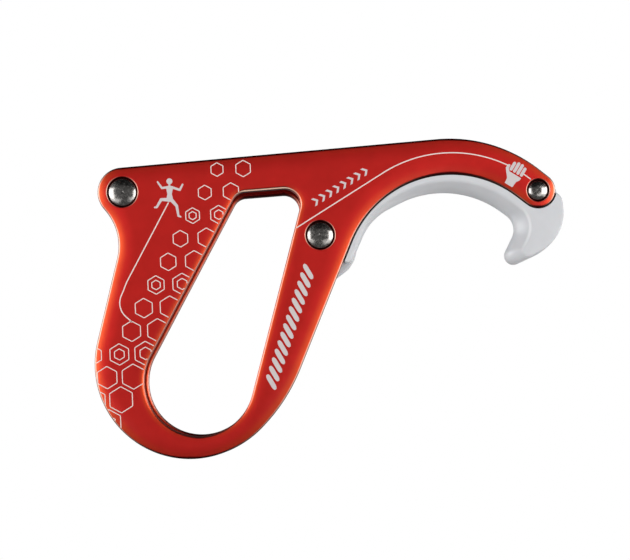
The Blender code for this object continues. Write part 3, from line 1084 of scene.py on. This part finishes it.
def flat_mark(name, shapes, step=0.0008):
    """Thin closed solid over the union of flat shapes, X and Z laid into X and Y for the trees."""
    flat, outlines = [], []
    for shape in shapes:
        dense = densified(shape, step, True)
        outlines.append(list(range(len(flat), len(flat) + len(dense))))
        flat += dense
    box = np.array(flat)
    low, high = box.min(axis=0), box.max(axis=0)
    x = low[0] + step / 2
    while x < high[0]:
        z = low[1] + step / 2
        while z < high[1]:
            flat.append((x, z))
            z += step
        x += step
    made = delaunay_2d_cdt([Vector((x / MM, z / MM)) for x, z in flat], [], outlines, 1, 1e-5)
    bm = bmesh.new()
    top = [bm.verts.new((c[0] * MM, c[1] * MM, MARK_PROUD)) for c in made[0]]
    for face in made[2]:
        bm.faces.new([top[n] for n in face])
    bmesh.ops.delete(bm, geom=[v for v in bm.verts if not v.link_faces], context="VERTS")
    extruded = bmesh.ops.extrude_face_region(bm, geom=bm.faces[:])
    sunk = [item for item in extruded["geom"] if isinstance(item, bmesh.types.BMVert)]
    for corner in sunk:
        corner.co.z = -MARK_SUNK
    bmesh.ops.recalc_face_normals(bm, faces=bm.faces[:])
    mesh = bpy.data.meshes.new(name)
    bm.to_mesh(mesh)
    bm.free()
    return mesh


def stand_up(mesh):
    """Turn a flat mark from the X and Y plane up against the front plate."""
    for corner in mesh.vertices:
        x, y, z = corner.co
        corner.co = (x, -z, y)
    mesh.update()


def chevron_shape(half_height, width):
    """Chevron that points along X, in metres round its own centre."""
    tip = 0.85 * half_height
    return [(-width, -half_height), (0.0, -half_height), (tip, 0.0),
            (0.0, half_height), (-width, half_height), (tip - width, 0.0)]


def limb(points, half_width, end_width=None):
    """Rounded stroke along a polyline, as one shape for each stretch, that may taper."""
    shapes = []
    taper = (end_width or half_width) - half_width
    widths = [half_width + taper * n / (len(points) - 1) for n in range(len(points))]
    for (ax, az), (bx, bz), wide, narrow in zip(points, points[1:], widths, widths[1:]):
        heading = math.degrees(math.atan2(bz - az, bx - ax))
        shape = arc_run((ax, az), wide, heading + 90, heading + 270, 10)
        shape += arc_run((bx, bz), narrow, heading - 90, heading + 90, 10)
        shapes.append(shape)
    return shapes


def climber_shapes():
    """A figure that climbs with bent arms and one knee out. Millimetres from its hips."""
    head = arc_run((-0.15, 5.55), 0.86, 0, 345, 23)
    neck = [(-0.42, 4.2), (0.12, 4.2), (0.1, 5.2), (-0.4, 5.2)]
    trunk = [(-1.05, 0.3), (-0.72, 1.9), (-1.05, 3.55), (-0.6, 4.25), (0.3, 4.25),
             (0.85, 3.55), (0.55, 1.9), (0.95, 0.3), (0.3, -0.3), (-0.6, -0.3)]
    # Arms, then each leg with its foot: joints and the half width at both ends
    limbs = (
        ([(-0.75, 3.85), (-2.25, 3.6), (-3.5, 5.35)], 0.36, 0.24),
        ([(0.55, 3.85), (2.8, 3.1), (3.6, 4.65)], 0.36, 0.24),
        ([(-0.55, 0.3), (-2.45, 0.35), (-3.75, -1.85)], 0.52, 0.30),
        ([(-3.75, -1.85), (-4.3, -1.9)], 0.28, 0.24),
        ([(0.45, 0.25), (1.95, -1.45), (2.45, -4.3)], 0.52, 0.30),
        ([(2.45, -4.3), (3.05, -4.55)], 0.28, 0.24),
    )
    return [head, neck, trunk] + [shape for stroke in limbs for shape in limb(*stroke)]


def gripping_hand_shapes():
    """A hand that closes round the rope. Millimetres, X along the rope, Y away from the wrist."""
    palm = [(-2.2, -1.05), (2.15, -1.05), (2.05, -1.9), (1.45, -2.7),
            (1.3, -4.5), (-1.2, -4.5), (-1.35, -3.0), (-2.15, -2.0)]
    shapes = [palm]
    for number, fingertip in enumerate((1.7, 2.2, 2.25, 1.8)):
        across = -1.65 + 1.13 * number
        shapes += limb([(across, -0.25), (across, fingertip)], 0.45)
    thumb = limb([(-1.9, -1.6), (-2.75, -0.55), (-2.7, 0.35)], 0.48, 0.38)
    return shapes + thumb


def strand_shape(half_height, width):
    """One S-shaped strand of a twisted rope, in metres round its own centre."""
    # The middle line sways and leans, and the strand swells out from it between pointed ends
    steps = 14
    left, right = [], []
    for step in range(steps + 1):
        n = -half_height + 2 * half_height * step / steps
        sway = 0.42 * width * math.sin(math.pi * n / (2 * half_height)) + 0.30 * n
        swell = width / 2 * max(0.0, 1 - abs(n / half_height) ** 3.2) ** 0.5
        left.append((sway - swell, n))
        right.append((sway + swell, n))
    return right + left[::-1][1:-1]


def placed(shapes, centre, heading, scale=MM):
    """Shapes turned by heading degrees and moved to centre."""
    c, s = math.cos(math.radians(heading)), math.sin(math.radians(heading))
    return [[(centre[0] + scale * (x * c - z * s), centre[1] + scale * (x * s + z * c))
             for x, z in shape] for shape in shapes]


def hexagon_lines(marks):
    """Outlined hexagons in a band beside the slot that shrink towards the top and the left."""
    heading = math.radians(SLOT_WALL_HEADING)
    along = (math.cos(heading), math.sin(heading))
    across = (-along[1], along[0])
    pitch = marks.cell_radius * 1.86
    first_column = 0.0171
    stretches = []
    for column in range(3):
        out = first_column + column * pitch * LATTICE_ROW
        for row in range(-6, 12):
            up = (row + 0.5 * (column % 2)) * pitch
            # The outermost column stops where the figure's line begins
            if column == 2 and up > -0.006:
                continue
            share = min(1.0, max(0.0, (up + 0.024) / 0.090))
            radius = marks.cell_radius * (1.0 - 0.42 * share - 0.12 * column)
            centre = (along[0] * up + across[0] * out, along[1] * up + across[1] * out)
            # Every third cell has a smaller one inside
            for size in (radius, radius * 0.52) if (row + column) % 3 == 0 else (radius,):
                corners = rounded_hexagon(centre, size, SLOT_WALL_HEADING + 30)
                stretches += kept_stretches(corners, True, CELL_MARGIN)
    return stretches


def rounded_hexagon(centre, size, heading):
    """Hexagon with its first corner at heading degrees, and four points round every corner."""
    points = []
    for corner in range(6):
        middle = math.radians(heading + 60 * corner)
        for lean, share in ((-0.10, 0.925), (-0.035, 0.955), (0.035, 0.955), (0.10, 0.925)):
            points.append((centre[0] + size * share * math.cos(middle + lean),
                           centre[1] + size * share * math.sin(middle + lean)))
    return points


def rope_lines():
    """Run of the rope: from the slot over the arm to the hook rivet, and from figure to band."""
    arm_centre, radius = (0.0722, 0.0284), 0.0368
    to_hand = [(0.0262, 0.04275)] + arc_run(arm_centre, radius, 121.6, 64.4)
    to_rivet = arc_run(arm_centre, radius, 56.6, 52.6, 20)
    bend = arc_run((-0.0172, 0.0223), 0.0053, 152, 236, 24)
    from_harness = [(-0.0087, 0.0509), (-0.0205, 0.0283)] + bend + [(-0.0190, 0.0168)]
    stretches = []
    for points in (to_hand, to_rivet, from_harness):
        stretches += kept_stretches(points, False, LINE_MARGIN)
    return stretches


# Materials

def shader_end(tree, inputs):
    """Principled surface and output at the end of a material."""
    shader = add_node(tree, "ShaderNodeBsdfPrincipled", inputs)
    add_node(tree, "ShaderNodeOutputMaterial", {"Surface": shader.outputs[0]})


def anodised_aluminium(plate):
    """Dyed anodised aluminium, tumbled: satin deep red, glossier along its edges, with a painted
    glow, painted highlights on the edges and painted shade on the walls.
    """
    surface, tree = new_surface("anodised_aluminium_tumbled")
    place = add_node(tree, "ShaderNodeTexCoord").outputs["Object"]
    wear_and_glow = add_node(tree, "ShaderNodeAttribute", attribute_name="wear_and_painted_glow").outputs["Fac"]
    glint = add_node(tree, "ShaderNodeAttribute", attribute_name="painted_edge_highlight").outputs["Fac"]
    wall = add_node(tree, "ShaderNodeAttribute", attribute_name="painted_wall_shade").outputs["Fac"]
    # Painted glow of the flanks, over a little thinned dye
    dye_and_glow = add_node(tree, "ShaderNodeMix", {
        0: wear_and_glow, 6: (*plate.face_colour, 1), 7: (*plate.edge_glow_colour, 1)}, data_type="RGBA")
    # Dye takes a little unevenly, in clouds about 6 mm wide
    cloud = add_node(tree, "ShaderNodeTexNoise", {
        "Vector": place, "Scale": 1 / (6 * MM), "Detail": 2.0})
    shade = add_node(tree, "ShaderNodeMapRange", {
        "Value": cloud.outputs["Fac"], "From Min": 0.3, "From Max": 0.7,
        "To Min": 0.95, "To Max": 1.04})
    clouded = add_node(tree, "ShaderNodeVectorMath", {
        0: dye_and_glow.outputs[2], "Scale": shade.outputs[0]}, operation="SCALE")
    # Painted shade on walls and inner faces
    wall_shaded = add_node(tree, "ShaderNodeMix", {
        0: wall, 6: clouded.outputs[0], 7: (*plate.wall_shade_colour, 1)}, data_type="RGBA")
    # Painted highlight along the edges
    broken = add_node(tree, "ShaderNodeMix", {
        0: glint, 6: wall_shaded.outputs[2], 7: (*plate.edge_highlight_colour, 1)}, data_type="RGBA")
    # Tumbling leaves pits near 0.1 mm, drawn here at 0.4 mm so that they show
    pits = add_node(tree, "ShaderNodeTexNoise", {
        "Vector": place, "Scale": 1 / (0.4 * MM), "Detail": 3.0})
    satin = add_node(tree, "ShaderNodeMapRange", {"Value": wear_and_glow, "To Min": 0.48, "To Max": 0.36})
    uneven = add_node(tree, "ShaderNodeMath", {
        0: pits.outputs["Fac"], 1: 0.06, 2: satin.outputs[0]}, operation="MULTIPLY_ADD")
    relief = add_node(tree, "ShaderNodeBump", {
        "Height": pits.outputs["Fac"], "Strength": 0.10, "Distance": 0.02 * MM})
    # Under the painted highlight the metal is made less metallic, so the pale colour scatters like
    # paint
    bare = add_node(tree, "ShaderNodeMapRange", {"Value": glint, "To Min": 1.0, "To Max": 0.15})
    shader_end(tree, {
        "Base Color": broken.outputs[2], "Metallic": bare.outputs[0],
        "Roughness": uneven.outputs[0], "Normal": relief.outputs[0],
        "Coat Weight": 0.3, "Coat Roughness": 0.2})
    return surface


def tumbled_steel(pins):
    """Stainless steel, cold headed and tumbled: bright, with the soft dapple of the stones and
    painted shade in their dents.
    """
    surface, tree = new_surface("stainless_steel_tumbled")
    place = add_node(tree, "ShaderNodeTexCoord").outputs["Object"]
    # Stones leave dents about 0.7 mm wide; the colour is painted darker where they sink, as shade
    dents = add_node(tree, "ShaderNodeTexNoise", {
        "Vector": place, "Scale": 1 / (0.7 * MM), "Detail": 4.0})
    shade = add_node(tree, "ShaderNodeMapRange", {
        "Value": dents.outputs["Fac"], "From Min": 0.35, "From Max": 0.65,
        "To Min": 0.70, "To Max": 1.05})
    tone = add_node(tree, "ShaderNodeVectorMath", {
        0: tuple(pins.steel_colour), "Scale": shade.outputs[0]}, operation="SCALE")
    gloss = add_node(tree, "ShaderNodeMapRange", {
        "Value": dents.outputs["Fac"], "From Min": 0.3, "From Max": 0.7,
        "To Min": 0.14, "To Max": 0.24})
    relief = add_node(tree, "ShaderNodeBump", {
        "Height": dents.outputs["Fac"], "Strength": 0.35, "Distance": 0.03 * MM})
    # A few deeper nicks, 0.3 mm wide and 1.1 mm apart, with painted shade darkening each one
    nicks = add_node(tree, "ShaderNodeTexVoronoi", {
        "Vector": place, "Scale": 1 / (1.1 * MM), "Randomness": 1.0})
    pit = add_node(tree, "ShaderNodeMapRange", {
        "Value": nicks.outputs["Distance"], "From Min": 0.08, "From Max": 0.20,
        "To Min": 0.35, "To Max": 1.0}, interpolation_type="SMOOTHSTEP")
    nick_shaded = add_node(tree, "ShaderNodeVectorMath", {
        0: tone.outputs[0], "Scale": pit.outputs[0]}, operation="SCALE")
    dent = add_node(tree, "ShaderNodeBump", {
        "Height": pit.outputs[0], "Strength": 0.5, "Distance": 0.04 * MM,
        "Normal": relief.outputs[0]})
    shader_end(tree, {
        "Base Color": nick_shaded.outputs[0], "Metallic": 1.0, "Roughness": gloss.outputs[0],
        "Normal": dent.outputs[0]})
    return surface


def turned_steel(pins):
    """Hardened steel tube, turned: fine rings across its length that stretch the highlights."""
    surface, tree = new_surface("sleeve_steel_turned")
    place = add_node(tree, "ShaderNodeTexCoord").outputs["Object"]
    # A feed of 0.1 mm a turn, drawn at 0.3 mm so that it shows
    rings = add_node(tree, "ShaderNodeTexWave", {
        "Vector": place, "Scale": math.tau / (20 * 0.3 * MM), "Distortion": 0.4},
        wave_type="BANDS", bands_direction="Y")
    gloss = add_node(tree, "ShaderNodeMapRange", {
        "Value": rings.outputs["Fac"], "To Min": 0.24, "To Max": 0.36})
    # Painted shade: the colour is a little darker in the grooves of the rings
    tone = add_node(tree, "ShaderNodeMapRange", {
        "Value": rings.outputs["Fac"], "To Min": 0.88, "To Max": 1.0})
    tinted = add_node(tree, "ShaderNodeVectorMath", {
        0: tuple(pins.steel_colour), "Scale": tone.outputs[0]}, operation="SCALE")
    relief = add_node(tree, "ShaderNodeBump", {
        "Height": rings.outputs["Fac"], "Strength": 0.25, "Distance": 0.01 * MM})
    shader_end(tree, {
        "Base Color": tinted.outputs[0], "Metallic": 1.0, "Roughness": gloss.outputs[0],
        "Normal": relief.outputs[0]})
    return surface


def moulded_polyamide(saddle):
    """Glass-filled polyamide, moulded in a spark-eroded tool: pale grey with a dry satin grain."""
    surface, tree = new_surface("polyamide_moulded")
    place = add_node(tree, "ShaderNodeTexCoord").outputs["Object"]
    # Filler clouds the colour faintly, in patches about 5 mm wide
    cloud = add_node(tree, "ShaderNodeTexNoise", {
        "Vector": place, "Scale": 1 / (5 * MM), "Detail": 2.0})
    shade = add_node(tree, "ShaderNodeMapRange", {
        "Value": cloud.outputs["Fac"], "From Min": 0.3, "From Max": 0.7,
        "To Min": 0.975, "To Max": 1.02})
    clouded = add_node(tree, "ShaderNodeVectorMath", {
        0: tuple(saddle.polyamide_colour), "Scale": shade.outputs[0]}, operation="SCALE")
    # Painted highlight: the rounded edge of the nose's hollow is painted a little paler
    painted_highlight = add_node(tree, "ShaderNodeAttribute", attribute_name="painted_crease_highlight").outputs["Fac"]
    tone = add_node(tree, "ShaderNodeMix", {
        0: painted_highlight, 6: clouded.outputs[0], 7: (*saddle.crease_highlight_colour, 1)}, data_type="RGBA")
    # Erosion grain near 0.1 mm, drawn at 0.35 mm so that it shows
    grain = add_node(tree, "ShaderNodeTexNoise", {
        "Vector": place, "Scale": 1 / (0.35 * MM), "Detail": 3.0})
    dry = add_node(tree, "ShaderNodeMapRange", {
        "Value": grain.outputs["Fac"], "From Min": 0.3, "From Max": 0.7,
        "To Min": 0.33, "To Max": 0.43})
    relief = add_node(tree, "ShaderNodeBump", {
        "Height": grain.outputs["Fac"], "Strength": 0.10, "Distance": 0.03 * MM})
    shader_end(tree, {
        "Base Color": tone.outputs[2], "Roughness": dry.outputs[0], "Normal": relief.outputs[0],
        "IOR": 1.53, "Subsurface Weight": 0.06, "Subsurface Scale": 0.6 * MM})
    return surface


def laser_mark(name, tint, hatch, depth):
    """Oxide bleached by the laser: matt, nearly white, with the hatch of the beam where it fills.

    Hatch is the distance of its lines, about 0.1 mm on the real one and drawn coarser so that it
    shows, and depth is how much darker the gaps are.
    """
    surface, tree = new_surface(name)
    place = add_node(tree, "ShaderNodeTexCoord").outputs["Object"]
    slant = add_node(tree, "ShaderNodeMapping", {
        "Vector": place, "Rotation": (0, math.radians(35), 0)})
    lines = add_node(tree, "ShaderNodeTexWave", {
        "Vector": slant.outputs[0], "Scale": math.tau / (20 * hatch), "Distortion": 0.6},
        wave_type="BANDS", bands_direction="X")
    shade = add_node(tree, "ShaderNodeMapRange", {
        "Value": lines.outputs["Fac"], "To Min": 1.0 - depth, "To Max": 1.0})
    tone = add_node(tree, "ShaderNodeVectorMath", {
        0: tuple(tint), "Scale": shade.outputs[0]}, operation="SCALE")
    relief = add_node(tree, "ShaderNodeBump", {
        "Height": lines.outputs["Fac"], "Strength": 0.10, "Distance": 0.01 * MM})
    shader_end(tree, {
        "Base Color": tone.outputs[0], "Roughness": 0.62, "Normal": relief.outputs[0]})
    return surface


def seamless_paper(studio):
    """Matt white paper that fades to the white surround and keeps the shadow of the device."""
    surface, tree = new_surface("seamless_paper")
    place = add_node(tree, "ShaderNodeTexCoord").outputs["Object"]
    # Distance from the middle of the device, seen from above
    centred = add_node(tree, "ShaderNodeMapping", {"Vector": place, "Location": (-0.03, 0, 0)})
    plan = add_node(tree, "ShaderNodeVectorMath", {
        0: centred.outputs[0], 1: (1, 1, 0)}, operation="MULTIPLY")
    away = add_node(tree, "ShaderNodeVectorMath", {0: plan.outputs[0]}, operation="LENGTH")
    fade = add_node(tree, "ShaderNodeMapRange", {
        "Value": away.outputs["Value"], "From Min": 0.16, "From Max": 0.48},
        interpolation_type="SMOOTHSTEP")
    paper = add_node(tree, "ShaderNodeBsdfDiffuse", {"Color": (*studio.floor_colour, 1)})
    white = add_node(tree, "ShaderNodeEmission", {"Color": (1, 1, 1, 1), "Strength": 1.0})
    mixed = add_node(tree, "ShaderNodeMixShader", {
        0: fade.outputs[0], 1: paper.outputs[0], 2: white.outputs[0]})
    add_node(tree, "ShaderNodeOutputMaterial", {"Surface": mixed.outputs[0]})
    return surface


# Operators

class BELAY_OT_side_plates(bpy.types.Operator):
    """Both tumbled side plates with their pillowed faces, slot and rivet seats."""

    bl_idname = "belay.side_plates"
    bl_label = "Side plates"

    def execute(self, context):
        plate = context.scene.belay_plate
        surface = anodised_aluminium(plate)
        for place, side in (("front", -1), ("rear", 1)):
            piece = side_plate(f"{place}_plate_tumbled", side, plate)
            finished_piece(piece, surface, [f"{place}_side_plate"])
        return {"FINISHED"}


class BELAY_OT_rivets(bpy.types.Operator):
    """Three domed rivets, each grown at its pin."""

    bl_idname = "belay.rivets"
    bl_label = "Rivets"

    def execute(self, context):
        pins = context.scene.belay_pins
        tree = rivet_tree()
        surface = tumbled_steel(pins)
        for place, (centre, head, shank, depth) in RIVETS.items():
            # The small rivet has a higher dome and only a faint dimple
            dome, dimple = (pins.hook_dome, 0.2) if place == "hook" else (pins.pin_dome, 1.0)
            piece = grown_by_nodes(f"{place}_rivet_domed", tree, {
                "Head Radius": head + HEAD_SWELL, "Shank Radius": shank, "Dome Rise": dome,
                "Head Level": PLATE_OUTER - HEAD_BELOW_PLATE,
                "Under Level": PLATE_OUTER - depth + FIT, "Rim Round": HEAD_ROLL,
                "Dimple Radius": pins.dimple_radius, "Dimple Depth": pins.dimple_depth * dimple,
                "Segments": pins.segments, "Pin Centre": (centre[0], 0.0, centre[1])})
            smooth_turned(piece, 50)
            finished_piece(piece, surface, [f"{place}_rivet"])
        return {"FINISHED"}


class BELAY_OT_sleeves(bpy.types.Operator):
    """Three spacer sleeves between the plates."""

    bl_idname = "belay.sleeves"
    bl_label = "Sleeves"

    def execute(self, context):
        pins = context.scene.belay_pins
        tree = sleeve_tree()
        surface = turned_steel(pins)
        for place, (centre, _, shank, _) in RIVETS.items():
            piece = grown_by_nodes(f"{place}_sleeve_turned", tree, {
                "Outer Radius": SLEEVE_RADIUS[place], "Bore Radius": shank + FIT,
                "Half Length": PLATE_INNER - FIT, "Chamfer": pins.sleeve_chamfer,
                "Segments": pins.segments, "Pin Centre": (centre[0], 0.0, centre[1])})
            smooth_turned(piece, 30)
            finished_piece(piece, surface, [f"{place}_sleeve"])
        return {"FINISHED"}


class BELAY_OT_saddle(bpy.types.Operator):
    """Moulded saddle that nests the plates and carries the rope."""

    bl_idname = "belay.saddle"
    bl_label = "Hook saddle"

    def execute(self, context):
        settings = context.scene.belay_saddle
        piece = saddle_moulding("hook_saddle_moulding", settings)
        finished_piece(piece, moulded_polyamide(settings), ["hook_saddle"])
        return {"FINISHED"}


class BELAY_OT_engraved_lines(bpy.types.Operator):
    """Run of the rope and the band of hexagons, engraved as single lines."""

    bl_idname = "belay.engraved_lines"
    bl_label = "Engraved lines"

    def execute(self, context):
        marks, plate = context.scene.belay_marks, context.scene.belay_plate
        tree = line_tree()
        surface = laser_mark("laser_line_on_aluminium", marks.line_colour, 0.2 * MM, 0.06)
        lines = (("rope_line_mark", rope_lines(), 1.0),
                 ("hexagon_mark", hexagon_lines(marks), 0.8))
        for name, stretches, share in lines:
            piece = grown_by_nodes(name, tree, {
                "Line Width": marks.line_width * share, "Line Depth": MARK_SUNK + MARK_PROUD},
                line_mesh(name, stretches))
            lay_on_plate(piece, plate, sink=(MARK_SUNK - MARK_PROUD) / 2)
            finished_piece(piece, surface)
        return {"FINISHED"}


class BELAY_OT_pictograms(bpy.types.Operator):
    """Climbing figure and gripping hand, filled with the laser's hatch."""

    bl_idname = "belay.pictograms"
    bl_label = "Pictograms"

    def execute(self, context):
        marks, plate = context.scene.belay_marks, context.scene.belay_plate
        fill = laser_mark("laser_hatch_on_aluminium", marks.fill_colour, 0.3 * MM, 0.10)
        pictures = (
            ("climber_mark", placed(climber_shapes(), (-0.0083, 0.0514), 0)),
            ("gripping_hand_mark", placed(gripping_hand_shapes(), (0.0905, 0.0599), -31)),
        )
        for name, shapes in pictures:
            piece = new_object(name, flat_mark(name, shapes))
            stand_up(piece.data)
            lay_on_plate(piece, plate)
            finished_piece(piece, fill)
        return {"FINISHED"}


class BELAY_OT_mark_rows(bpy.types.Operator):
    """Rope band on the right arm and chevrons along the run of the rope."""

    bl_idname = "belay.mark_rows"
    bl_label = "Rows of marks"

    def execute(self, context):
        marks, plate = context.scene.belay_marks, context.scene.belay_plate
        tree = row_tree()
        fill = laser_mark("laser_row_on_aluminium", marks.fill_colour, 0.3 * MM, 0.10)
        rows = (
            ("rope_band_mark", strand_shape(2.0 * MM, 1.75 * MM), 14, marks.strand_pitch, 71.6,
             (0.0206, -0.0002)),
            ("chevron_mark", chevron_shape(1.15 * MM, 0.75 * MM), 8, 2.35 * MM, 31.4,
             (0.0331, 0.0512)),
        )
        for name, shape, count, pitch, heading, start in rows:
            piece = grown_by_nodes(name, tree, {
                "Count": count, "Pitch": pitch, "Heading": math.radians(heading),
                "Start": (*start, 0.0)}, flat_mark(name, [shape], 0.0005))
            closed_outwards(piece.data)
            lay_on_plate(piece, plate)
            finished_piece(piece, fill)
        return {"FINISHED"}


class BELAY_OT_stage(bpy.types.Operator):
    """Camera, softboxes, pale floor and the dark cards that metal reflects."""

    bl_idname = "belay.stage"
    bl_label = "Studio"

    def execute(self, context):
        scene = context.scene
        studio = scene.belay_studio
        set_camera(scene)
        softboxes = (("left_softbox", -55, 0.95), ("right_softbox", 51, 1.08),
                     ("left_rear_softbox", -138, 0.8), ("right_rear_softbox", 138, 0.8))
        for name, azimuth, level in softboxes:
            add_softbox(name, azimuth, studio.softbox_level * level)
        add_floor(studio)
        add_cards()
        set_world(scene)
        scene.view_settings.view_transform = "Standard"
        return {"FINISHED"}


def set_camera(scene):
    """Camera of the photograph: 91.5 mm lens, 0.465 m in front, level with the slot's round end.

    A part of the framing comes from lens shift, which keeps the upright lines of the photograph.
    """
    lens = bpy.data.cameras.new("camera")
    lens.lens = 91.5
    lens.sensor_width = 36.0
    lens.clip_start, lens.clip_end = 0.01, 20.0
    camera = bpy.data.objects.new("camera", lens)
    scene.collection.objects.link(camera)
    camera.location = (0.0231, -0.465, -0.001)
    lens.shift_x, lens.shift_y = 0.0388, 0.1168
    aim = Vector((0.02605, -PLATE_OUTER, 0.00790)) - camera.location
    camera.rotation_euler = aim.to_track_quat("-Z", "Y").to_euler()
    scene.camera = camera


def add_softbox(name, azimuth, power):
    """Rectangular area lamp aimed at the middle of the device; azimuth 0 is the camera's side."""
    distance, height = 0.95, 0.10
    lamp = bpy.data.lights.new(name, "AREA")
    lamp.shape = "RECTANGLE"
    lamp.size, lamp.size_y = 0.90, 0.80
    lamp.energy = power
    box = bpy.data.objects.new(name, lamp)
    bpy.context.scene.collection.objects.link(box)
    turn = math.radians(azimuth)
    target = Vector((0.035, 0.0, 0.02))
    box.location = target + Vector((distance * math.sin(turn), -distance * math.cos(turn), height))
    box.rotation_euler = (target - box.location).to_track_quat("-Z", "Y").to_euler()


def add_floor(studio):
    """Seamless paper under the device."""
    reach = 6.0
    bm = bmesh.new()
    bmesh.ops.create_grid(bm, x_segments=8, y_segments=8, size=reach)
    mesh = bpy.data.meshes.new("paper_floor")
    bm.to_mesh(mesh)
    bm.free()
    lowest = CAD_BOX[0][2]
    for corner in mesh.vertices:
        corner.co.z = lowest - studio.floor_drop
    floor = new_object("paper_floor", mesh)
    mesh.materials.append(seamless_paper(studio))


def add_cards():
    """Dark and grey cards round the set, seen only in reflections."""
    # Levels over the floor and under the ceiling; the long card lies on the under card
    low, high = -0.105, 0.34
    cards = (
        ("ceiling_card", "#101010",
         [(-0.7, -0.9, high), (0.7, -0.9, high), (0.7, 0.7, high), (-0.7, 0.7, high)]),
        ("under_card", "#555555",
         [(-0.25, -0.35, low), (0.31, -0.35, low), (0.31, 0.35, low), (-0.25, 0.35, low)]),
        ("long_card", "#555555",
         [(-0.18, -1.2, -0.104), (0.14, -1.2, -0.104), (0.12, 1.2, -0.104), (-0.06, 1.2, -0.104)]),
        ("camera_card", "#5A5A5A",
         [(-0.5, -1.2, low), (0.5, -1.2, low), (0.5, -0.9, high), (-0.5, -0.9, high)]),
        ("rear_card", "#505050",
         [(-0.5, 0.7, low), (0.5, 0.7, low), (0.5, 0.7, high), (-0.5, 0.7, high)]),
    )
    for name, tone, corners in cards:
        surface, tree = new_surface(name)
        paint = add_node(tree, "ShaderNodeEmission", {"Color": (*colour(tone), 1)})
        add_node(tree, "ShaderNodeOutputMaterial", {"Surface": paint.outputs[0]})
        mesh = bpy.data.meshes.new(name)
        mesh.from_pydata(corners, [], [(0, 1, 2, 3)])
        mesh.materials.append(surface)
        card = new_object(name, mesh)
        card.visible_camera = card.visible_shadow = card.visible_diffuse = False


def set_world(scene):
    """White surround, dimmer for the light that it sheds than for what is seen of it."""
    world = bpy.data.worlds.new("white_surround")
    world.use_nodes = True
    tree = world.node_tree
    tree.nodes.clear()
    path = add_node(tree, "ShaderNodeLightPath").outputs
    mirrored = add_node(tree, "ShaderNodeMath", {
        0: path["Is Glossy Ray"], 1: path["Is Transmission Ray"]}, operation="MAXIMUM")
    seen = add_node(tree, "ShaderNodeMath", {
        0: path["Is Camera Ray"], 1: mirrored.outputs[0]}, operation="MAXIMUM")
    level = add_node(tree, "ShaderNodeMapRange", {
        "Value": seen.outputs[0], "To Min": 0.35, "To Max": 1.0})
    sky = add_node(tree, "ShaderNodeBackground", {
        "Color": (1, 1, 1, 1), "Strength": level.outputs[0]})
    add_node(tree, "ShaderNodeOutputWorld", {"Surface": sky.outputs[0]})
    scene.world = world


class BELAY_PT_finish(bpy.types.Panel):
    """Sidebar panel that lists the pieces and their settings."""

    bl_idname = "BELAY_PT_finish"
    bl_label = "Belay device"
    bl_space_type = "VIEW_3D"
    bl_region_type = "UI"
    bl_category = "Belay device"

    def draw(self, context):
        scene = context.scene
        for title, settings, operators in PANEL_ROWS:
            box = self.layout.box()
            box.label(text=title)
            group = getattr(scene, settings)
            for name in group.bl_rna.properties.keys():
                if name not in ("rna_type", "name"):
                    box.prop(group, name)
            for operator in operators:
                box.operator(operator)


PANEL_ROWS = (
    ("Side plates", "belay_plate", ("belay.side_plates",)),
    ("Pins", "belay_pins", ("belay.rivets", "belay.sleeves")),
    ("Saddle", "belay_saddle", ("belay.saddle",)),
    ("Marks", "belay_marks", ("belay.engraved_lines", "belay.pictograms", "belay.mark_rows")),
    ("Studio", "belay_studio", ("belay.stage",)),
)
SETTINGS = {
    "belay_plate": PlateSettings,
    "belay_pins": PinSettings,
    "belay_saddle": SaddleSettings,
    "belay_marks": MarkSettings,
    "belay_studio": StudioSettings,
}
CLASSES = (
    *SETTINGS.values(),
    BELAY_OT_side_plates,
    BELAY_OT_rivets,
    BELAY_OT_sleeves,
    BELAY_OT_saddle,
    BELAY_OT_engraved_lines,
    BELAY_OT_pictograms,
    BELAY_OT_mark_rows,
    BELAY_OT_stage,
    BELAY_PT_finish,
)


def register():
    """Register every class and hang the settings on the scene."""
    for item in CLASSES:
        bpy.utils.register_class(item)
    for name, group in SETTINGS.items():
        setattr(bpy.types.Scene, name, PointerProperty(type=group))


def unregister():
    """Take the settings and classes away again."""
    for name in SETTINGS:
        delattr(bpy.types.Scene, name)
    for item in reversed(CLASSES):
        bpy.utils.unregister_class(item)


def main():
    """Build every piece and the studio."""
    register()
    for leftover in [item for item in bpy.data.objects if item.type in ("LIGHT", "CAMERA")]:
        bpy.data.objects.remove(leftover)
    bpy.ops.belay.side_plates()
    bpy.ops.belay.rivets()
    bpy.ops.belay.sleeves()
    bpy.ops.belay.saddle()
    bpy.ops.belay.engraved_lines()
    bpy.ops.belay.pictograms()
    bpy.ops.belay.mark_rows()
    bpy.ops.belay.stage()


if __name__ == "__main__":
    main()
